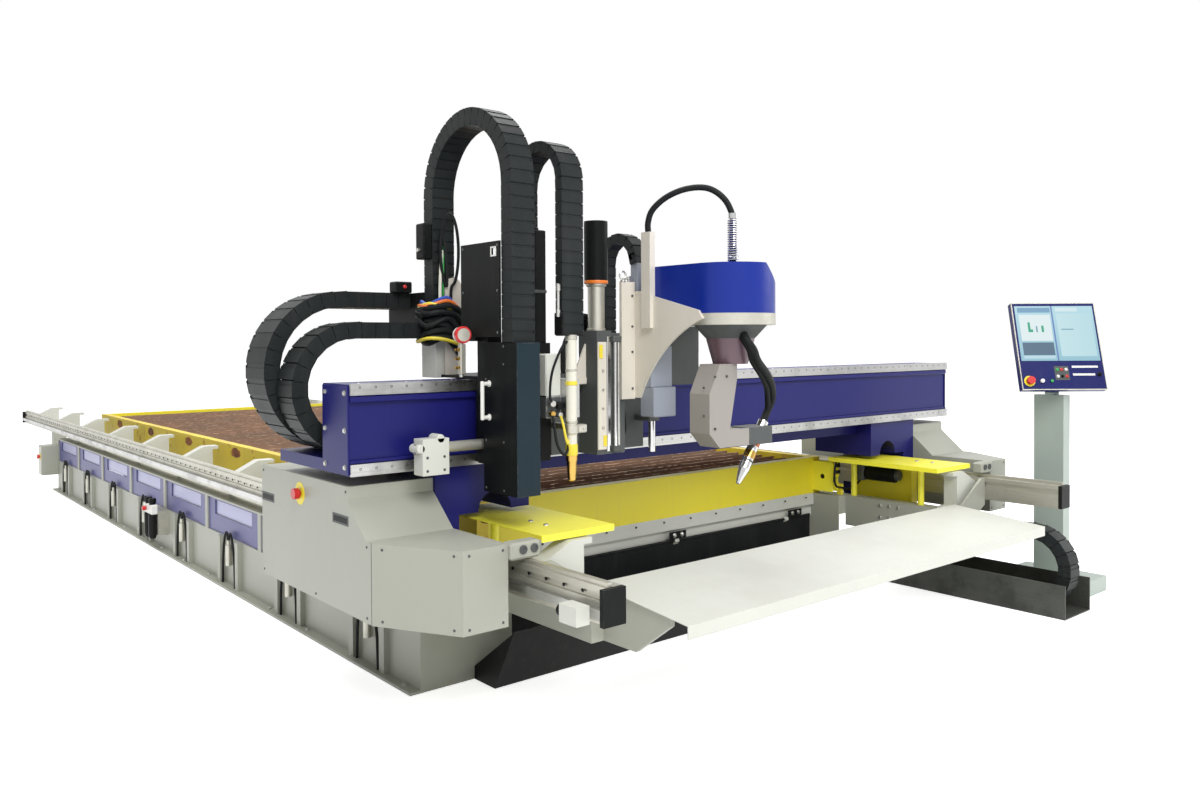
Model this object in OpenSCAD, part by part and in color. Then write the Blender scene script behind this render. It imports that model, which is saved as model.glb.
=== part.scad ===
// Gantry plasma and oxy-fuel cutting machine over a downdraft slat table.
// Millimetres. X runs across the table, Y along the rails, Z up from the floor.
// The loading end with the apron lies towards -Y; the origin is on the floor under the middle.

/* [Travel rails] */
// Length of each travel rail
rail_l = 10210; // [9600:10:11000]
// Distance between the rail centre lines
rail_gauge = 3180; // [3120:10:3260]
// Width of a rail
rail_w = 70; // [60:1:80]
// Height of a rail
rail_h = 122; // [110:1:130]
// Height of the rail's underside over the floor
rail_z = 535; // [528:1:545]
// Distance between rail brackets
bracket_pitch = 1050; // [950:10:1060]

/* [Table] */
// Outer length of the table frame
table_l = 6970; // [6600:10:7200]
// Outer width of the table frame
table_w = 2510; // [2440:10:2520]
// Thickness of the table frame's walls
table_wall = 60; // [50:1:70]
// Height of the table frame's top edge over the floor
table_top_z = 720; // [716:1:724]
// Height of the table frame's walls
table_wall_h = 220; // [216:1:224]
// Distance from the front ends of the rails to the table's front face
table_setback = 1332; // [1320:1:1400]
// Distance between slats
slat_pitch = 100; // [60:5:160]
// Thickness of a slat
slat_t = 5; // [3:0.5:10]
// Height of a slat
slat_h = 110; // [90:1:120]
// Number of exhaust zones along the table
zone_count = 8; // [4:2:10]

/* [Front end] */
// Length of the sloping apron from back to front
apron_l = 500; // [400:5:520]
// Width of the apron
apron_w = 2600; // [2560:5:2640]
// Length of a yellow deck plate
deck_l = 720; // [600:5:730]
// Width of a yellow deck plate
deck_w = 350; // [330:1:360]
// Width of the floor channel for the energy chain
channel_w = 294; // [260:1:310]
// Height of the floor channel's walls
channel_h = 175; // [120:1:220]

/* [Gantry] */
// Length of the gantry beam
beam_l = 4100; // [4060:5:4160]
// Depth of the gantry beam with its guide strips
beam_d = 240; // [230:1:260]
// Height of the gantry beam
beam_h = 338; // [320:1:350]
// Height of the beam's underside over the floor
beam_z = 953; // [945:1:960]
// Distance from the rails' front ends to the beam's front at rest
gantry_park = 930; // [925:1:980]
// Height of a carriage cover's underside over the floor
cover_z = 443; // [438:1:470]
// Height of a carriage cover's top over the floor
cover_top_z = 913; // [890:1:930]

/* [Torch stations] */
// Across position of the plasma station's middle
plasma_x = -1497; // [-1510:1:-1480]
// Width of the plasma station's cover
plasma_w = 105; // [90:1:120]
// Height of the plasma station's cover
plasma_h = 580; // [500:1:600]
// Across position of the oxy-fuel torch
oxy_x = -1290; // [-1300:1:-1280]
// Diameter of the oxy-fuel torch body
oxy_d = 42; // [36:1:50]
// Across position of the bevel head's turning axis
head_x = -615; // [-620:1:-600]
// Width of the bevel head's housing
head_w = 370; // [340:1:390]
// Depth of the bevel head's housing
head_d = 445; // [420:1:460]
// Height of the bevel head's housing
head_h = 250; // [200:1:280]

/* [Energy chains] */
// Width of a station's energy chain
chain_w = 105; // [80:1:110]
// Thickness of a station's energy chain
chain_t = 70; // [50:1:80]
// Outer bend radius of the plasma station's chain
plasma_bend_r = 325; // [315:1:335]
// Outer bend radius of the floor chain
floor_bend_r = 218; // [200:1:225]
// Outer bend radius of the wide tray chain
wide_bend_r = 328; // [310:1:350]
// Outer bend radius of the narrow tray chain
narrow_bend_r = 263; // [250:1:280]

/* [Console] */
// Width of the console's panel
panel_w = 480; // [420:5:520]
// Slant height of the console's panel
panel_h = 520; // [460:5:540]
// Thickness of the console's panel
panel_t = 45; // [40:1:60]
// How far the panel leans back, in degrees
panel_tilt = 18; // [10:1:25]
// Which way the panel faces, in degrees from -Y towards -X
panel_yaw = 40; // [30:1:50]
// Height of the console's post over the floor
post_top_z = 1120; // [1080:5:1140]

/* [Hidden] */
$fn = 48;

// Clearances and cuts
over = 1;
slide_gap = 0.3;
pin_gap = 0.05;
sheet_t = 3;

// Colours
grey = [0.70, 0.70, 0.65];
pale_grey = [0.80, 0.81, 0.79];
yellow = [0.93, 0.86, 0.20];
beam_blue = [0.18, 0.18, 0.56];
head_blue = [0.13, 0.23, 0.60];
chain_black = [0.16, 0.17, 0.17];
black = [0.08, 0.08, 0.09];
steel = [0.62, 0.63, 0.64];
alloy = [0.75, 0.76, 0.77];
rust = [0.45, 0.28, 0.16];
red = [0.80, 0.10, 0.08];

// Rails
channel_lead = 125;
end_plate_t = 20;
front_y = -(channel_lead + rail_l + end_plate_t) / 2;
rail_y0 = front_y + channel_lead;
rail_y1 = rail_y0 + rail_l;
rail_in = rail_gauge / 2 - rail_w / 2;
rail_out = rail_gauge / 2 + rail_w / 2;
rail_top = rail_z + rail_h;
guide_w = 20;
guide_h = 15;
guide_edge = 8;
guide_x1 = rail_out - guide_edge;
groove_d = 8;
groove_shares = [0.62, 0.82];
rack_w = 25;
rack_h = 30;
rack_rise = 25;
rack_z = rail_z + rack_rise;
stop_l = 90;
stop_reach = 140;
stop_w = 55;
stop_h = 60;
stop_pad_l = 25;
stop_pad_r = 22;

// Table
table_x1 = table_w / 2;
table_x0 = table_x1 - table_wall;
base_top = table_top_z - table_wall_h;
table_y0 = rail_y0 + table_setback;
table_y1 = table_y0 + table_l;
base_lead = 185;
base_y0 = table_y0 - base_lead;
base_y1 = table_y1;
slat_drop = 20;
slat_top_z = table_top_z - slat_drop;
slat_z = slat_top_z - slat_h;
slat_end_gap = 5;
ledge_w = 60;
ledge_t = 20;
spine_w = 80;
spine_h = 100;
pan_z = 60;
pan_t = 10;
pan_top = pan_z + pan_t;

// Left plenum wall
plenum_reach = 25;
plenum_x = rail_out + plenum_reach;
wall_t = 10;
skirt_h = 286;
band_h = 104;
band_t = 6;
band_x = plenum_x - wall_t;
band_top_z = skirt_h + band_h;
zone_l = (base_y1 - base_y0) / zone_count;
post_w = 46;
post_d = 25;
post_spread = 150;
flange_w = 50;
foot_t = 12;
window_l = 620;
window_rim = 12;
anchor_r = 9;
anchor_inset = 600;
zone_centres = [for (i = [0:zone_count - 1]) base_y0 + (i + 0.5) * zone_l];
half_count = zone_count / 2;
front_zones = [for (i = [0:half_count - 1]) zone_centres[i]];
rear_zones = [for (i = [half_count:zone_count - 1]) zone_centres[i]];
damper_t = 4;
damper_pin_r = 5;
damper_margin = 20;
damper_pin_x = band_x - band_t - damper_pin_r - slide_gap;
damper_pin_gap = 2;
damper_pin_z = base_top - wall_t - damper_pin_r - damper_pin_gap;
damper_drop = 92;
lug_t = 8;
lug_r = 10;

// Compressed air lines on the plenum wall
cylinder_r = 17;
cylinder_l = 120;
cylinder_z = 250;
fitting_r = 10;
fitting_l = 28;
hose_r = 7;
hose_spread = 95;
hose_foot_z = foot_t + slide_gap;
hose_lift = 3;
hose_bulge = 46;
hose_steps = 6;
valve_w = 70;
valve_l = 200;
valve_z0 = 120;

// Legs
leg_reach = 75;
leg_x1 = table_x1 + leg_reach;
leg_l = 120;
leg_beam_h = 110;
foot_reach = 90;
foot_l = 220;
skin_t = 8;
stand_w = 130;
bracket_lead = 500;
bracket_tail = 60;
bracket_count = floor((rail_l - bracket_lead - bracket_tail) / bracket_pitch) + 1;
bracket_ys = [for (i = [0:bracket_count - 1]) rail_y0 + bracket_lead + i * bracket_pitch];
base_bracket_ys = [for (y = bracket_ys) if (y > base_y0 && y < base_y1) y];
stand_ys = [for (y = bracket_ys) if (y > base_y1) y];
bracket_l = 80;
bracket_gap = 15;
bracket_foot = table_x1 + bracket_gap;
bracket_foot_t = 15;
bracket_drop = 30;
bracket_slope = 155;
bracket_cap_w = 100;
bracket_cap_t = 22;
bracket_cap_drop = 15;
bracket_cap_lip = 40;
gusset_lip = 33;

// Front crossbeam and curtain
cross_h = 70;
cross_d = 60;
strip_d = 10;
strip_inset = 20;
cross_z = base_top - cross_h;
strip_z = cross_z - cross_h;
curtain_pin_r = 8;
curtain_lead = 2;
curtain_pin_y = table_y0 - curtain_lead;
curtain_pin_rise = 12;
curtain_pin_z = strip_z + curtain_pin_rise;
curtain_t = 6;
curtain_gap = 10;
curtain_side_gap = 45;
curtain_w = 2 * (table_x0 - curtain_side_gap);
ear_w = 30;
ear_r = 14;
ear_clear = 6;
ear_share = 0.4;
ear_xs = [for (i = [-1:1]) i * ear_share * curtain_w];

// Outriggers, deck plates and apron
outrig_l = 735;
outrig_y0 = base_y0 - outrig_l;
outrig_w = 80;
outrig_h = 180;
gusset_h = 100;
outrig_gap = 10;
outrig_x0 = table_x1 + outrig_gap;
gusset_t = 15;
gusset_drop = 30;
deck_t = 4;
deck_lip = 25;
deck_rise = 15;
deck_top_z = table_top_z + deck_rise;
deck_lap_x = 85;
deck_x0 = table_x1 - deck_lap_x;
deck_lap_y = 55;
deck_y1 = base_y0 + deck_lap_y;
standoff_r = 18;
standoff_inset = 90;
apron_lap = 40;
apron_y1 = outrig_y0 + apron_lap;
apron_back_z = 530;
apron_front_z = 481;
apron_y0 = apron_y1 - apron_l;
apron_lip = 48;
apron_back_lip = 24;
apron_arm_t = 20;
apron_arm_l = 360;
apron_arm_h = 70;
apron_seat = 35;
apron_arm_x0 = min(outrig_x0, apron_w / 2 - apron_seat);
sprocket_r = 62;
sprocket_t = 18;
sprocket_shaft_r = 15;
sprocket_plate_t = 10;
sprocket_frame_l = 140;
sprocket_frame_h = 180;
sprocket_gap = 12;
sprocket_y = table_y0 - sprocket_frame_l / 2;
sprocket_drop = 20;
sprocket_z = table_top_z - sprocket_drop - sprocket_frame_h / 2;
sprocket_hub_r = 30;
sprocket_plate_x = table_x1 - sprocket_plate_t;
sprocket_x1 = sprocket_plate_x - sprocket_gap;

// Slag hopper and scoop
hopper_x0 = -1390;
hopper_x1 = 1190;
hopper_wall = 6;
hopper_rim_z = 270;
hopper_back_z = 55;
hopper_depth = 300;
hopper_floor_l = 150;
hopper_y1 = base_y0 - slide_gap;
scoop_d = 60;
scoop_h = 250;
scoop_lip = 120;
scoop_side_gap = 75;
scoop_lead = 260;
scoop_y1 = table_y1 - scoop_lead;

// Floor channel and chain
channel_t = 6;
channel_gap = 30;
channel_x0 = leg_x1 + channel_gap;
channel_x1 = channel_x0 + channel_w;
channel_tail = 150;
channel_y1 = base_y1 + channel_tail;
floor_chain_x0 = channel_x0 + channel_w / 2 - chain_w / 2;
floor_chain_inset = 14;
floor_chain_y = front_y + floor_chain_inset + floor_bend_r;
floor_chain_z = channel_t + slide_gap + floor_bend_r;
floor_chain_l = 4200;
floor_chain_end = rail_y0 + floor_chain_l;
chain_band = 66;

// Gantry
beam_x1 = beam_l / 2;
beam_y0 = rail_y0 + gantry_park;
beam_y1 = beam_y0 + beam_d;
beam_top = beam_z + beam_h;
beam_wall = 10;
beam_recess = 10;
beam_recess_shares = [0.14, 0.82];
strip_t = 12;
strip_h = 44;
strip_rise = 4;
tray_d = 430;
tray_t = 47;
tray_rise = 47;
tray_z1 = beam_z + tray_rise;
tray_x1 = 1240;
tie_h = 60;
tie_d = 100;
tie_drop = 8;
leg_in_x = 1240;
leg_under_z = 756;
leg_low_z = 700;
leg_front = 20;
leg_d = 400;
leg_y1 = beam_y0 + leg_front + leg_d;
leg_arch_r = 80;
shoe_l = 140;
shoe_edge = 14;
shoe_lift = 3;
cover_gap = 65;
cover_x0 = rail_out + cover_gap;
cover_w = 360;
cover_x1 = cover_x0 + cover_w;
cover_rear = 880;
cover_front = 478;
cover_step = 38;
cover_step_h = 50;
cover_slope = 150;
cover_nose_z = 735;
cover_chamfer_l = 320;
cover_chamfer_w = 175;
cover_y1 = beam_y0 + cover_rear;
cover_y0 = beam_y0 - cover_front;
drive_l = 100;
drive_back = 212;
drive_y = beam_y0 + drive_back;
drive_rise = 10;
drive_z0 = rack_z + rack_h + drive_rise;
drive_reach = 30;
drive_edge = 5;
motor_r = 60;
motor_l = 230;
window_gap = 4;
pinion_r = 25;
pinion_x = rail_out + rack_w + pinion_r + slide_gap;
pinion_shaft_r = 10;
pinion_shaft_l = 28;
pinion_over = 4;
chain_arm_t = 26;
chain_arm_l = 80;
chain_arm_gap = 10;
chain_arm_y = leg_y1 + chain_arm_gap;
chain_arm_clear = 8;
chain_arm_x1 = cover_x0 - chain_arm_clear;
estop_r = 22;
estop_h = 22;
estop_stem_r = 10;
estop_lift = 8;
estop_stem_l = 14;
estop_bore_gap = 0.3;
gantry_estop_back = 470;
gantry_estop_y = beam_y0 + gantry_estop_back;
gantry_estop_drop = 75;
gantry_estop_z = cover_top_z - gantry_estop_drop;

// Carriages on the beam
carriage_t = 40;
carriage_y0 = beam_y0 - slide_gap - carriage_t;
carriage_front = carriage_y0;
carriage_rise = 12;
carriage_z0 = beam_z + carriage_rise;
carriage_drop = 6;
carriage_z1 = beam_top - carriage_drop;
hook_t = 12;
hook_z = beam_top + strip_rise + slide_gap;
torch_car_left = 15;
torch_car_x0 = plasma_x - torch_car_left;
torch_car_right = 110;
torch_car_x1 = oxy_x + torch_car_right;
column_y1 = carriage_front;
plasma_reach = 338;
plasma_y0 = beam_y0 - plasma_reach;
plasma_d = 225;
plasma_z = 864;
plasma_wall = 4;
plasma_y1 = plasma_y0 + plasma_d;
plasma_column_w = 66;
plasma_column_rise = 30;
plasma_column_z1 = plasma_z + plasma_h + plasma_column_rise;
plasma_torch_r = 20;
plasma_tip_r = 9;
plasma_tip_l = 26;
plasma_torch_l = 380;
plasma_torch_out = 6;
side_plate_t = 8;
side_plate_back = 100;
side_plate_y0 = plasma_y0 + side_plate_back;
side_plate_d = 272;
side_plate_rise = 20;
side_plate_z0 = plasma_z + plasma_h + side_plate_rise;
side_plate_h = 365;
side_hole = 26;
tube_r = 20;
tube_out = 32;
tube_y = carriage_front - tube_out;
tube_rise = 90;
tube_z = beam_z + tube_rise;
tube_reach = 333;
tube_x0 = plasma_x - tube_reach;
clamp_w = 112;
clamp_inset = 16;
clamp_low = 98;
clamp_high = 38;
clamp_d = 64;
handle_r = 7;
handle_l = 130;
handle_out = 32;
handle_rise = 290;
handle_z = plasma_z + handle_rise;
handle_inset = 40;
handle_y = plasma_y1 - handle_inset;
oxy_reach = 348;
oxy_y = beam_y0 - oxy_reach;
oxy_tip_z = 905;
oxy_tip_l = 95;
oxy_tip_r = 9;
oxy_top_z = 1470;
oxy_torch_left = 10;
oxy_torch_x = oxy_x - oxy_torch_left;
oxy_block_w = 60;
oxy_block_z0 = 1150;
oxy_block_h = 150;
oxy_column_w = 50;
oxy_column_d = 127;
oxy_column_y0 = carriage_front - oxy_column_d;
oxy_column_z1 = 1440;
oxy_motor_w = 52;
oxy_motor_left = 19;
oxy_motor_back = 4;
oxy_motor_d = 104;
oxy_motor_z1 = 1890;
oxy_box_w = 70;
oxy_box_d = 60;
oxy_box_h = 170;

// Chain anchors on the carriages
plasma_chain_back = 28;
plasma_chain_c = plasma_y0 + plasma_chain_back + plasma_bend_r;
plasma_chain_top = 2374;
plasma_chain_z = plasma_chain_top - plasma_bend_r;
chain_foot_z = 1450;
oxy_chain_t = 42;
oxy_bend_r = 170;
oxy_chain_reach = 348;
oxy_chain_y0 = beam_y0 - oxy_chain_reach;
oxy_chain_c = oxy_chain_y0 + oxy_bend_r;
oxy_chain_top = 2238;
oxy_chain_z = oxy_chain_top - oxy_bend_r;

// Tray chains
wide_w = 200;
narrow_w = 140;
tray_chain_gap = 20;
narrow_gap = 54;
narrow_y1 = beam_y1 + narrow_w + narrow_gap;
wide_y1 = narrow_y1 + wide_w + tray_chain_gap;
panel_reach_x = panel_w / 2 * cos(panel_yaw) + panel_h / 2 * sin(panel_tilt) * sin(panel_yaw)
    + panel_t * cos(panel_tilt) * sin(panel_yaw);
post_x = 1986;
post_back = 232;
post_y = rail_y0 + post_back;
panel_out = 80;
panel_x = post_x - panel_out * sin(panel_yaw);
panel_y = post_y - panel_out * cos(panel_yaw);
reach_x = panel_x + panel_reach_x;
wide_c = wide_bend_r - reach_x;
narrow_inset = 46;
narrow_c = narrow_bend_r - reach_x + narrow_inset;
wide_z = tray_z1 + slide_gap + wide_bend_r;
narrow_z = tray_z1 + slide_gap + narrow_bend_r;
tray_top_gap = 3;
tray_top_x = plasma_x - chain_w / 2 - tray_top_gap;
riser_t = 40;
tray_base_x = -700;
arm_w = 80;
arm_h = 70;
arm_post_d = 40;
arm_rise = 100;
arm_z = chain_foot_z + arm_rise;
chain_foot_in = 44;

// Bevel station
bevel_car_left = 550;
bevel_car_x0 = head_x - bevel_car_left;
bevel_car_right = 25;
bevel_car_x1 = head_x - bevel_car_right;
bevel_column_left = 385;
bevel_column_x0 = head_x - bevel_column_left;
bevel_column_w = 140;
bevel_column_z1 = 1480;
bevel_plate_t = 15;
bevel_column_d = 122;
bevel_plate_y1 = carriage_front - bevel_column_d;
bevel_plate_y0 = bevel_plate_y1 - bevel_plate_t;
bevel_plate_left = 273;
bevel_plate_x0 = head_x - bevel_plate_left;
bevel_side_left = 185;
bevel_side_x = head_x - bevel_side_left;
bevel_plate_z0 = 1195;
bevel_plate_z1 = 1700;
bevel_post_w = 30;
bevel_post_d = 54;
bevel_post_z0 = 1500;
bevel_post_z1 = 1908;
side_t = 12;
head_reach = 552;
head_axis_y = beam_y0 - head_reach;
head_y0 = head_axis_y - head_w / 2;
head_y1 = head_y0 + head_d;
head_z0 = 1510;
head_chamfer = 85;
head_chamfer_w = 58;
head_nose_turn = 40;
head_band_h = 30;
cheek_cut_r = 635;
cheek_cut_lead = 232;
cheek_cut_y = head_axis_y - cheek_cut_lead;
cheek_cut_z = 935;
cheek_gap = 51;
cheek_y1 = carriage_front - cheek_gap;
cheek_z0 = 1200;
cheek_z1 = 1660;
cheek_brow_z = 1635;
cheek_tip_lead = 28;
cheek_tip_y = head_axis_y - cheek_tip_lead;
cheek_tip_z = 1535;
cheek_tip_rise = 34;
cheek_tip_back = 24;
cheek_foot_lead = 117;
spindle_left = 360;
spindle_x = head_x - spindle_left;
spindle_w = 80;
spindle_z1 = 1490;
spindle_rod_r = 35;
spindle_rod_z1 = 1690;
spindle_motor_r = 50;
spindle_motor_z1 = 1955;
spindle_out = 70;
spindle_y = carriage_front - spindle_out;
bevel_bend_r = 128;
bevel_chain_w = 70;
bevel_chain_t = 45;
bevel_chain_inset = 1;
bevel_chain_x0 = bevel_side_x - side_t + bevel_chain_inset;
bevel_chain_out = 15;
bevel_chain_c = carriage_front - bevel_chain_out;
bevel_chain_top = 1920;
bevel_chain_z = bevel_chain_top - bevel_bend_r;
bevel_near_z = 1785;
bevel_block_z0 = 1560;
neck_r = 100;
bowl_r = 150;
neck_z = 1455;
cone_r = 100;
cone_low_r = 72;
cone_z = 1350;
arm_left = 185;
arm_x0 = head_x - arm_left;
arm_right = 20;
arm_x1 = head_x - arm_right;
arm_d = 110;
arm_low_z = 1010;
arm_bend_h = 120;
arm_shoe_right = 20;
arm_shoe_x1 = head_x + arm_shoe_right;
arm_shoe_h = 70;
tilt_right = 175;
tilt_x = head_x + tilt_right;
tilt_z = 1045;
tilt_pin_r = 9;
tilt_lean = 33;
tilt_plate_t = 14;
tilt_boss_r = 26;
torch_r = 24;
torch_up = 60;
torch_down = 240;
torch_tip_l = 70;
torch_tip_r = 9;
bevel_hose_r = 13;
bevel_hose_route = [[-814, -4388, 1908.3], [-814, -4388, 1950], [-804, -4403, 2000], [-773, -4445, 2048],
    [-730, -4501, 2080], [-685, -4560, 2090], [-650, -4605, 2078], [-620, -4644, 2040],
    [-603, -4667, 1990], [-597, -4674.5, 1940], [-597, -4674.5, 1860], [-597, -4674.5, 1774]];
bevel_hose_end = bevel_hose_route[len(bevel_hose_route) - 1];
hose_fitting_r = 24;
hose_fitting_h = 14;
hose_fitting_right = 18;
guard_wire_r = 3;
guard_gap = 2.4;
guard_l = 180;
guard_curls = 20;
guard_curl_rings = 8;
torch_hose_r = 16;
torch_hose_route = [[-655.5, -4782.7, 1471.3], [-665, -4809, 1446], [-645, -4826, 1408],
    [-600, -4810, 1362], [-515, -4785, 1308], [-430, -4742, 1252], [-372, -4694, 1190],
    [-380, -4674.5, 1138], [-407.1, -4674.5, 1095.7]];

// Console
console_base_h = 85;
console_base_x0 = 1700;
console_base_x1 = 2140;
console_base_lead = 245;
console_base_y0 = post_y - console_base_lead;
console_base_tail = 220;
console_base_y1 = post_y + console_base_tail;
duct_w = 120;
duct_h = 60;
post_d_x = 80;
post_d_y = 170;
swivel_r = 38;
swivel_h = 14;
neck_h = 90;
panel_z = 1405;
screen_w = 450;
screen_h = 330;
screen_t = 3;
screen_y = 75;
control_y = -210;
estop_x = -195;
knob_x = -125;
knob_r = 11;
knob_h = 14;
start_x = -70;
start_r = 8;
start_h = 6;
start_lift = 4;
control_stem_r = 5;
control_stem_l = 10;
bore_depth = 24;

// Shared shapes
module block(lo, hi) { translate(lo) cube(hi - lo); }

module both_sides() {
    children();
    mirror([1, 0, 0]) children();
}

// Extrudes a shape drawn in Y and Z along +X from x
module along_x(x, l) { translate([x, 0, 0]) rotate([90, 0, 90]) linear_extrude(l) children(); }

// Extrudes a shape drawn in X and Z towards -Y, ending at y and l long
module along_y(y, l) { translate([0, y, 0]) rotate([90, 0, 0]) linear_extrude(l) children(); }

module rod_x(x0, x1, y, z, r) { translate([x0, y, z]) rotate([0, 90, 0]) cylinder(h = x1 - x0, r = r); }

module rod_y(y0, y1, x, z, r) { translate([x, y1, z]) rotate([90, 0, 0]) cylinder(h = y1 - y0, r = r); }

module rod_z(x, y, z0, z1, r) { translate([x, y, z0]) cylinder(h = z1 - z0, r = r); }

// Bend of a band, drawn in the XY plane about the origin
module bend(r, t, w, sweep) { rotate_extrude(angle = sweep, $fn = 96) translate([r - t, 0]) square([t, w]); }

// Round tube along a route of points
function unit(v) = v / norm(v);
function heading(route, i) =
    unit(route[min(i + 1, len(route) - 1)] - route[max(i - 1, 0)]);
function ring(p, d, side, r, n) = let (a = unit(side - (side * d) * d), b = cross(d, a))
    [for (k = [0:n - 1]) p + r * (cos(360 * k / n) * a + sin(360 * k / n) * b)];
function tube_points(route, r, side, n) =
    [for (i = [0:len(route) - 1]) each ring(route[i], heading(route, i), side, r, n)];
function tube_sides(rings, n) = [for (i = [0:rings - 2], k = [0:n - 1])
    let (a = i * n + k, b = i * n + (k + 1) % n) each [[a, a + n, b + n], [a, b + n, b]]];
module tube(route, r, side, n = 8) {
    last = (len(route) - 1) * n;
    caps = [[for (k = [0:n - 1]) k], [for (k = [n - 1:-1:0]) last + k]];
    polyhedron(tube_points(route, r, side, n), concat(tube_sides(len(route), n), caps));
}

// Left plenum wall with its skirt, posts, floor flange, end plates and top plate
module plenum_wall() color(grey) difference() {
    union() {
        block([-plenum_x, base_y0, 0], [-band_x, base_y1, skirt_h]);
        block([-plenum_x - flange_w, base_y0, 0], [-band_x, base_y1, foot_t]);
        block([-plenum_x, base_y0, base_top - wall_t], [-table_x0, base_y1, base_top]);
        for (y = [base_y0, base_y1 - wall_t])
            block([-plenum_x, y, 0], [-table_x0, y + wall_t, base_top]);
        for (y = zone_centres, s = [-1, 1])
            translate([-plenum_x - post_d, y + s * post_spread - post_w / 2, 0])
                cube([post_d + wall_t, post_w, skirt_h]);
        for (i = [0:zone_count]) let (y = base_y0 + i * zone_l)
            block([-plenum_x, max(base_y0, y - post_w / 2), 0],
                [-band_x, min(base_y1, y + post_w / 2), base_top]);
    }
    for (y = [base_y0 + anchor_inset, base_y1 - anchor_inset])
        rod_z(-plenum_x - flange_w / 2, y, -over, foot_t + over, anchor_r);
}

// Blue band with one exhaust window in each zone
module damper_band() color(beam_blue) {
    difference() {
        block([-band_x, base_y0 + wall_t, skirt_h], [-band_x + band_t, base_y1 - wall_t, base_top - wall_t]);
        for (y = zone_centres)
            block([-band_x - over, y - window_l / 2, band_top_z],
                [-band_x + band_t + over, y + window_l / 2, base_top - wall_t - window_rim]);
    }
    for (y = zone_centres, s = [-1, 1]) damper_lug(y + s * (window_l / 2 + damper_margin + lug_t));
}

// Lug that carries one end of a damper's pin
module damper_lug(y) difference() {
    block([-band_x + band_t, y - lug_t / 2, damper_pin_z - lug_r],
        [-damper_pin_x + lug_r, y + lug_t / 2, base_top - wall_t]);
    rod_y(y - lug_t, y + lug_t, -damper_pin_x, damper_pin_z, damper_pin_r + pin_gap);
}

// Damper flap on its pin
module damper(y) {
    half = window_l / 2 + damper_margin;
    rod_y(y - half - 2 * lug_t, y + half + 2 * lug_t, -damper_pin_x, damper_pin_z, damper_pin_r);
    block([-damper_pin_x - damper_t / 2, y - half, damper_pin_z - damper_drop],
        [-damper_pin_x + damper_t / 2, y + half, damper_pin_z]);
}

module dampers_front() color([0.72, 0.72, 0.88]) for (y = front_zones) damper(y);

module dampers_rear() color([0.72, 0.72, 0.88]) for (y = rear_zones) damper(y);

// Air cylinder and fitting in each zone, and one valve unit
module air_cylinders() color(pale_grey) {
    for (y = zone_centres) {
        x = -plenum_x - cylinder_r;
        rod_z(x, y, cylinder_z - cylinder_l, cylinder_z, cylinder_r);
        rod_z(x, y, cylinder_z, cylinder_z + fitting_l, fitting_r);
        block([x, y - fitting_r, cylinder_z - cylinder_l],
            [-plenum_x, y + fitting_r, cylinder_z - fitting_l]);
    }
    translate([-plenum_x - valve_w, base_y0 + half_count * zone_l - valve_l / 2, valve_z0])
        cube([valve_w, valve_l, skirt_h - valve_z0]);
}

// Pair of air hoses in each zone, in an upturned V
function hose_route(y, s) = let (x = -plenum_x - cylinder_r, z1 = cylinder_z + fitting_l + hose_lift,
    p = [[x, y, z1], [x, y, z1 + 2 * hose_bulge], [x, y + s * hose_spread, z1 + hose_bulge],
        [x, y + s * hose_spread, hose_foot_z]])
    [for (i = [0:hose_steps]) let (t = i / hose_steps, u = 1 - t)
        u * u * u * p[0] + 3 * u * u * t * p[1] + 3 * u * t * t * p[2] + t * t * t * p[3]];

module air_hoses() color(black) for (y = zone_centres, s = [-1, 1])
    tube(hose_route(y + s * (fitting_r + hose_r) / 2, s), hose_r, [1, 0, 0]);

// Right-hand legs with their beam, skin and feet, the slag pan, and the rear rail stands
module leg_frames() color(grey) {
    difference() {
        union() {
            block([table_x0, base_y0, base_top - leg_beam_h], [leg_x1, base_y1, base_top]);
            block([table_x0, base_y0, pan_z], [table_x0 + skin_t, base_y1, base_top]);
            for (y = base_bracket_ys) {
                block([table_x0, y - leg_l / 2, 0], [leg_x1, y + leg_l / 2, base_top]);
                block([table_x0 - foot_reach, y - foot_l / 2, 0], [leg_x1, y + foot_l / 2, foot_t]);
            }
            for (y = [base_y0 + anchor_inset, base_y1 - anchor_inset])
                block([table_x0 - foot_reach, y - foot_l / 2, 0], [leg_x1, y + foot_l / 2, foot_t]);
        }
        for (y = [base_y0 + anchor_inset, base_y1 - anchor_inset])
            rod_z(table_x0 - foot_reach / 2, y, -over, foot_t + over, anchor_r);
    }
    block([-band_x, base_y0 + wall_t, pan_z], [table_x0 - slide_gap, base_y1 - wall_t, pan_top]);
    for (y = stand_ys) both_sides() {
        block([bracket_foot, y - leg_l / 2, 0], [bracket_foot + stand_w, y + leg_l / 2, base_top]);
        translate([bracket_foot - foot_reach / 2, y - foot_l / 2, 0])
            cube([stand_w + foot_reach, foot_l, foot_t]);
    }
}

// Table side walls with the slat ledges and the middle spine
module table_sides() color(yellow) {
    both_sides() {
        block([table_x0, table_y0, base_top], [table_x1, table_y1, table_top_z]);
        block([table_x0 - ledge_w, table_y0 + table_wall, slat_z - ledge_t],
            [table_x0, table_y1 - table_wall, slat_z]);
    }
    block([-spine_w / 2, table_y0 + table_wall, slat_z - spine_h],
        [spine_w / 2, table_y1 - table_wall, slat_z]);
}

// Table front and rear beams
module table_ends() color(yellow) for (y = [table_y0, table_y1 - table_wall])
    block([-table_x0, y, base_top], [table_x0, y + table_wall, table_top_z]);

// Row of burnt slats
module slats() color(rust) for (y = [table_y0 + table_wall + slat_pitch / 2 : slat_pitch :
        table_y1 - table_wall - slat_t])
    block([-table_x0 + slat_end_gap, y, slat_z], [table_x0 - slat_end_gap, y + slat_t, slat_top_z]);

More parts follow.
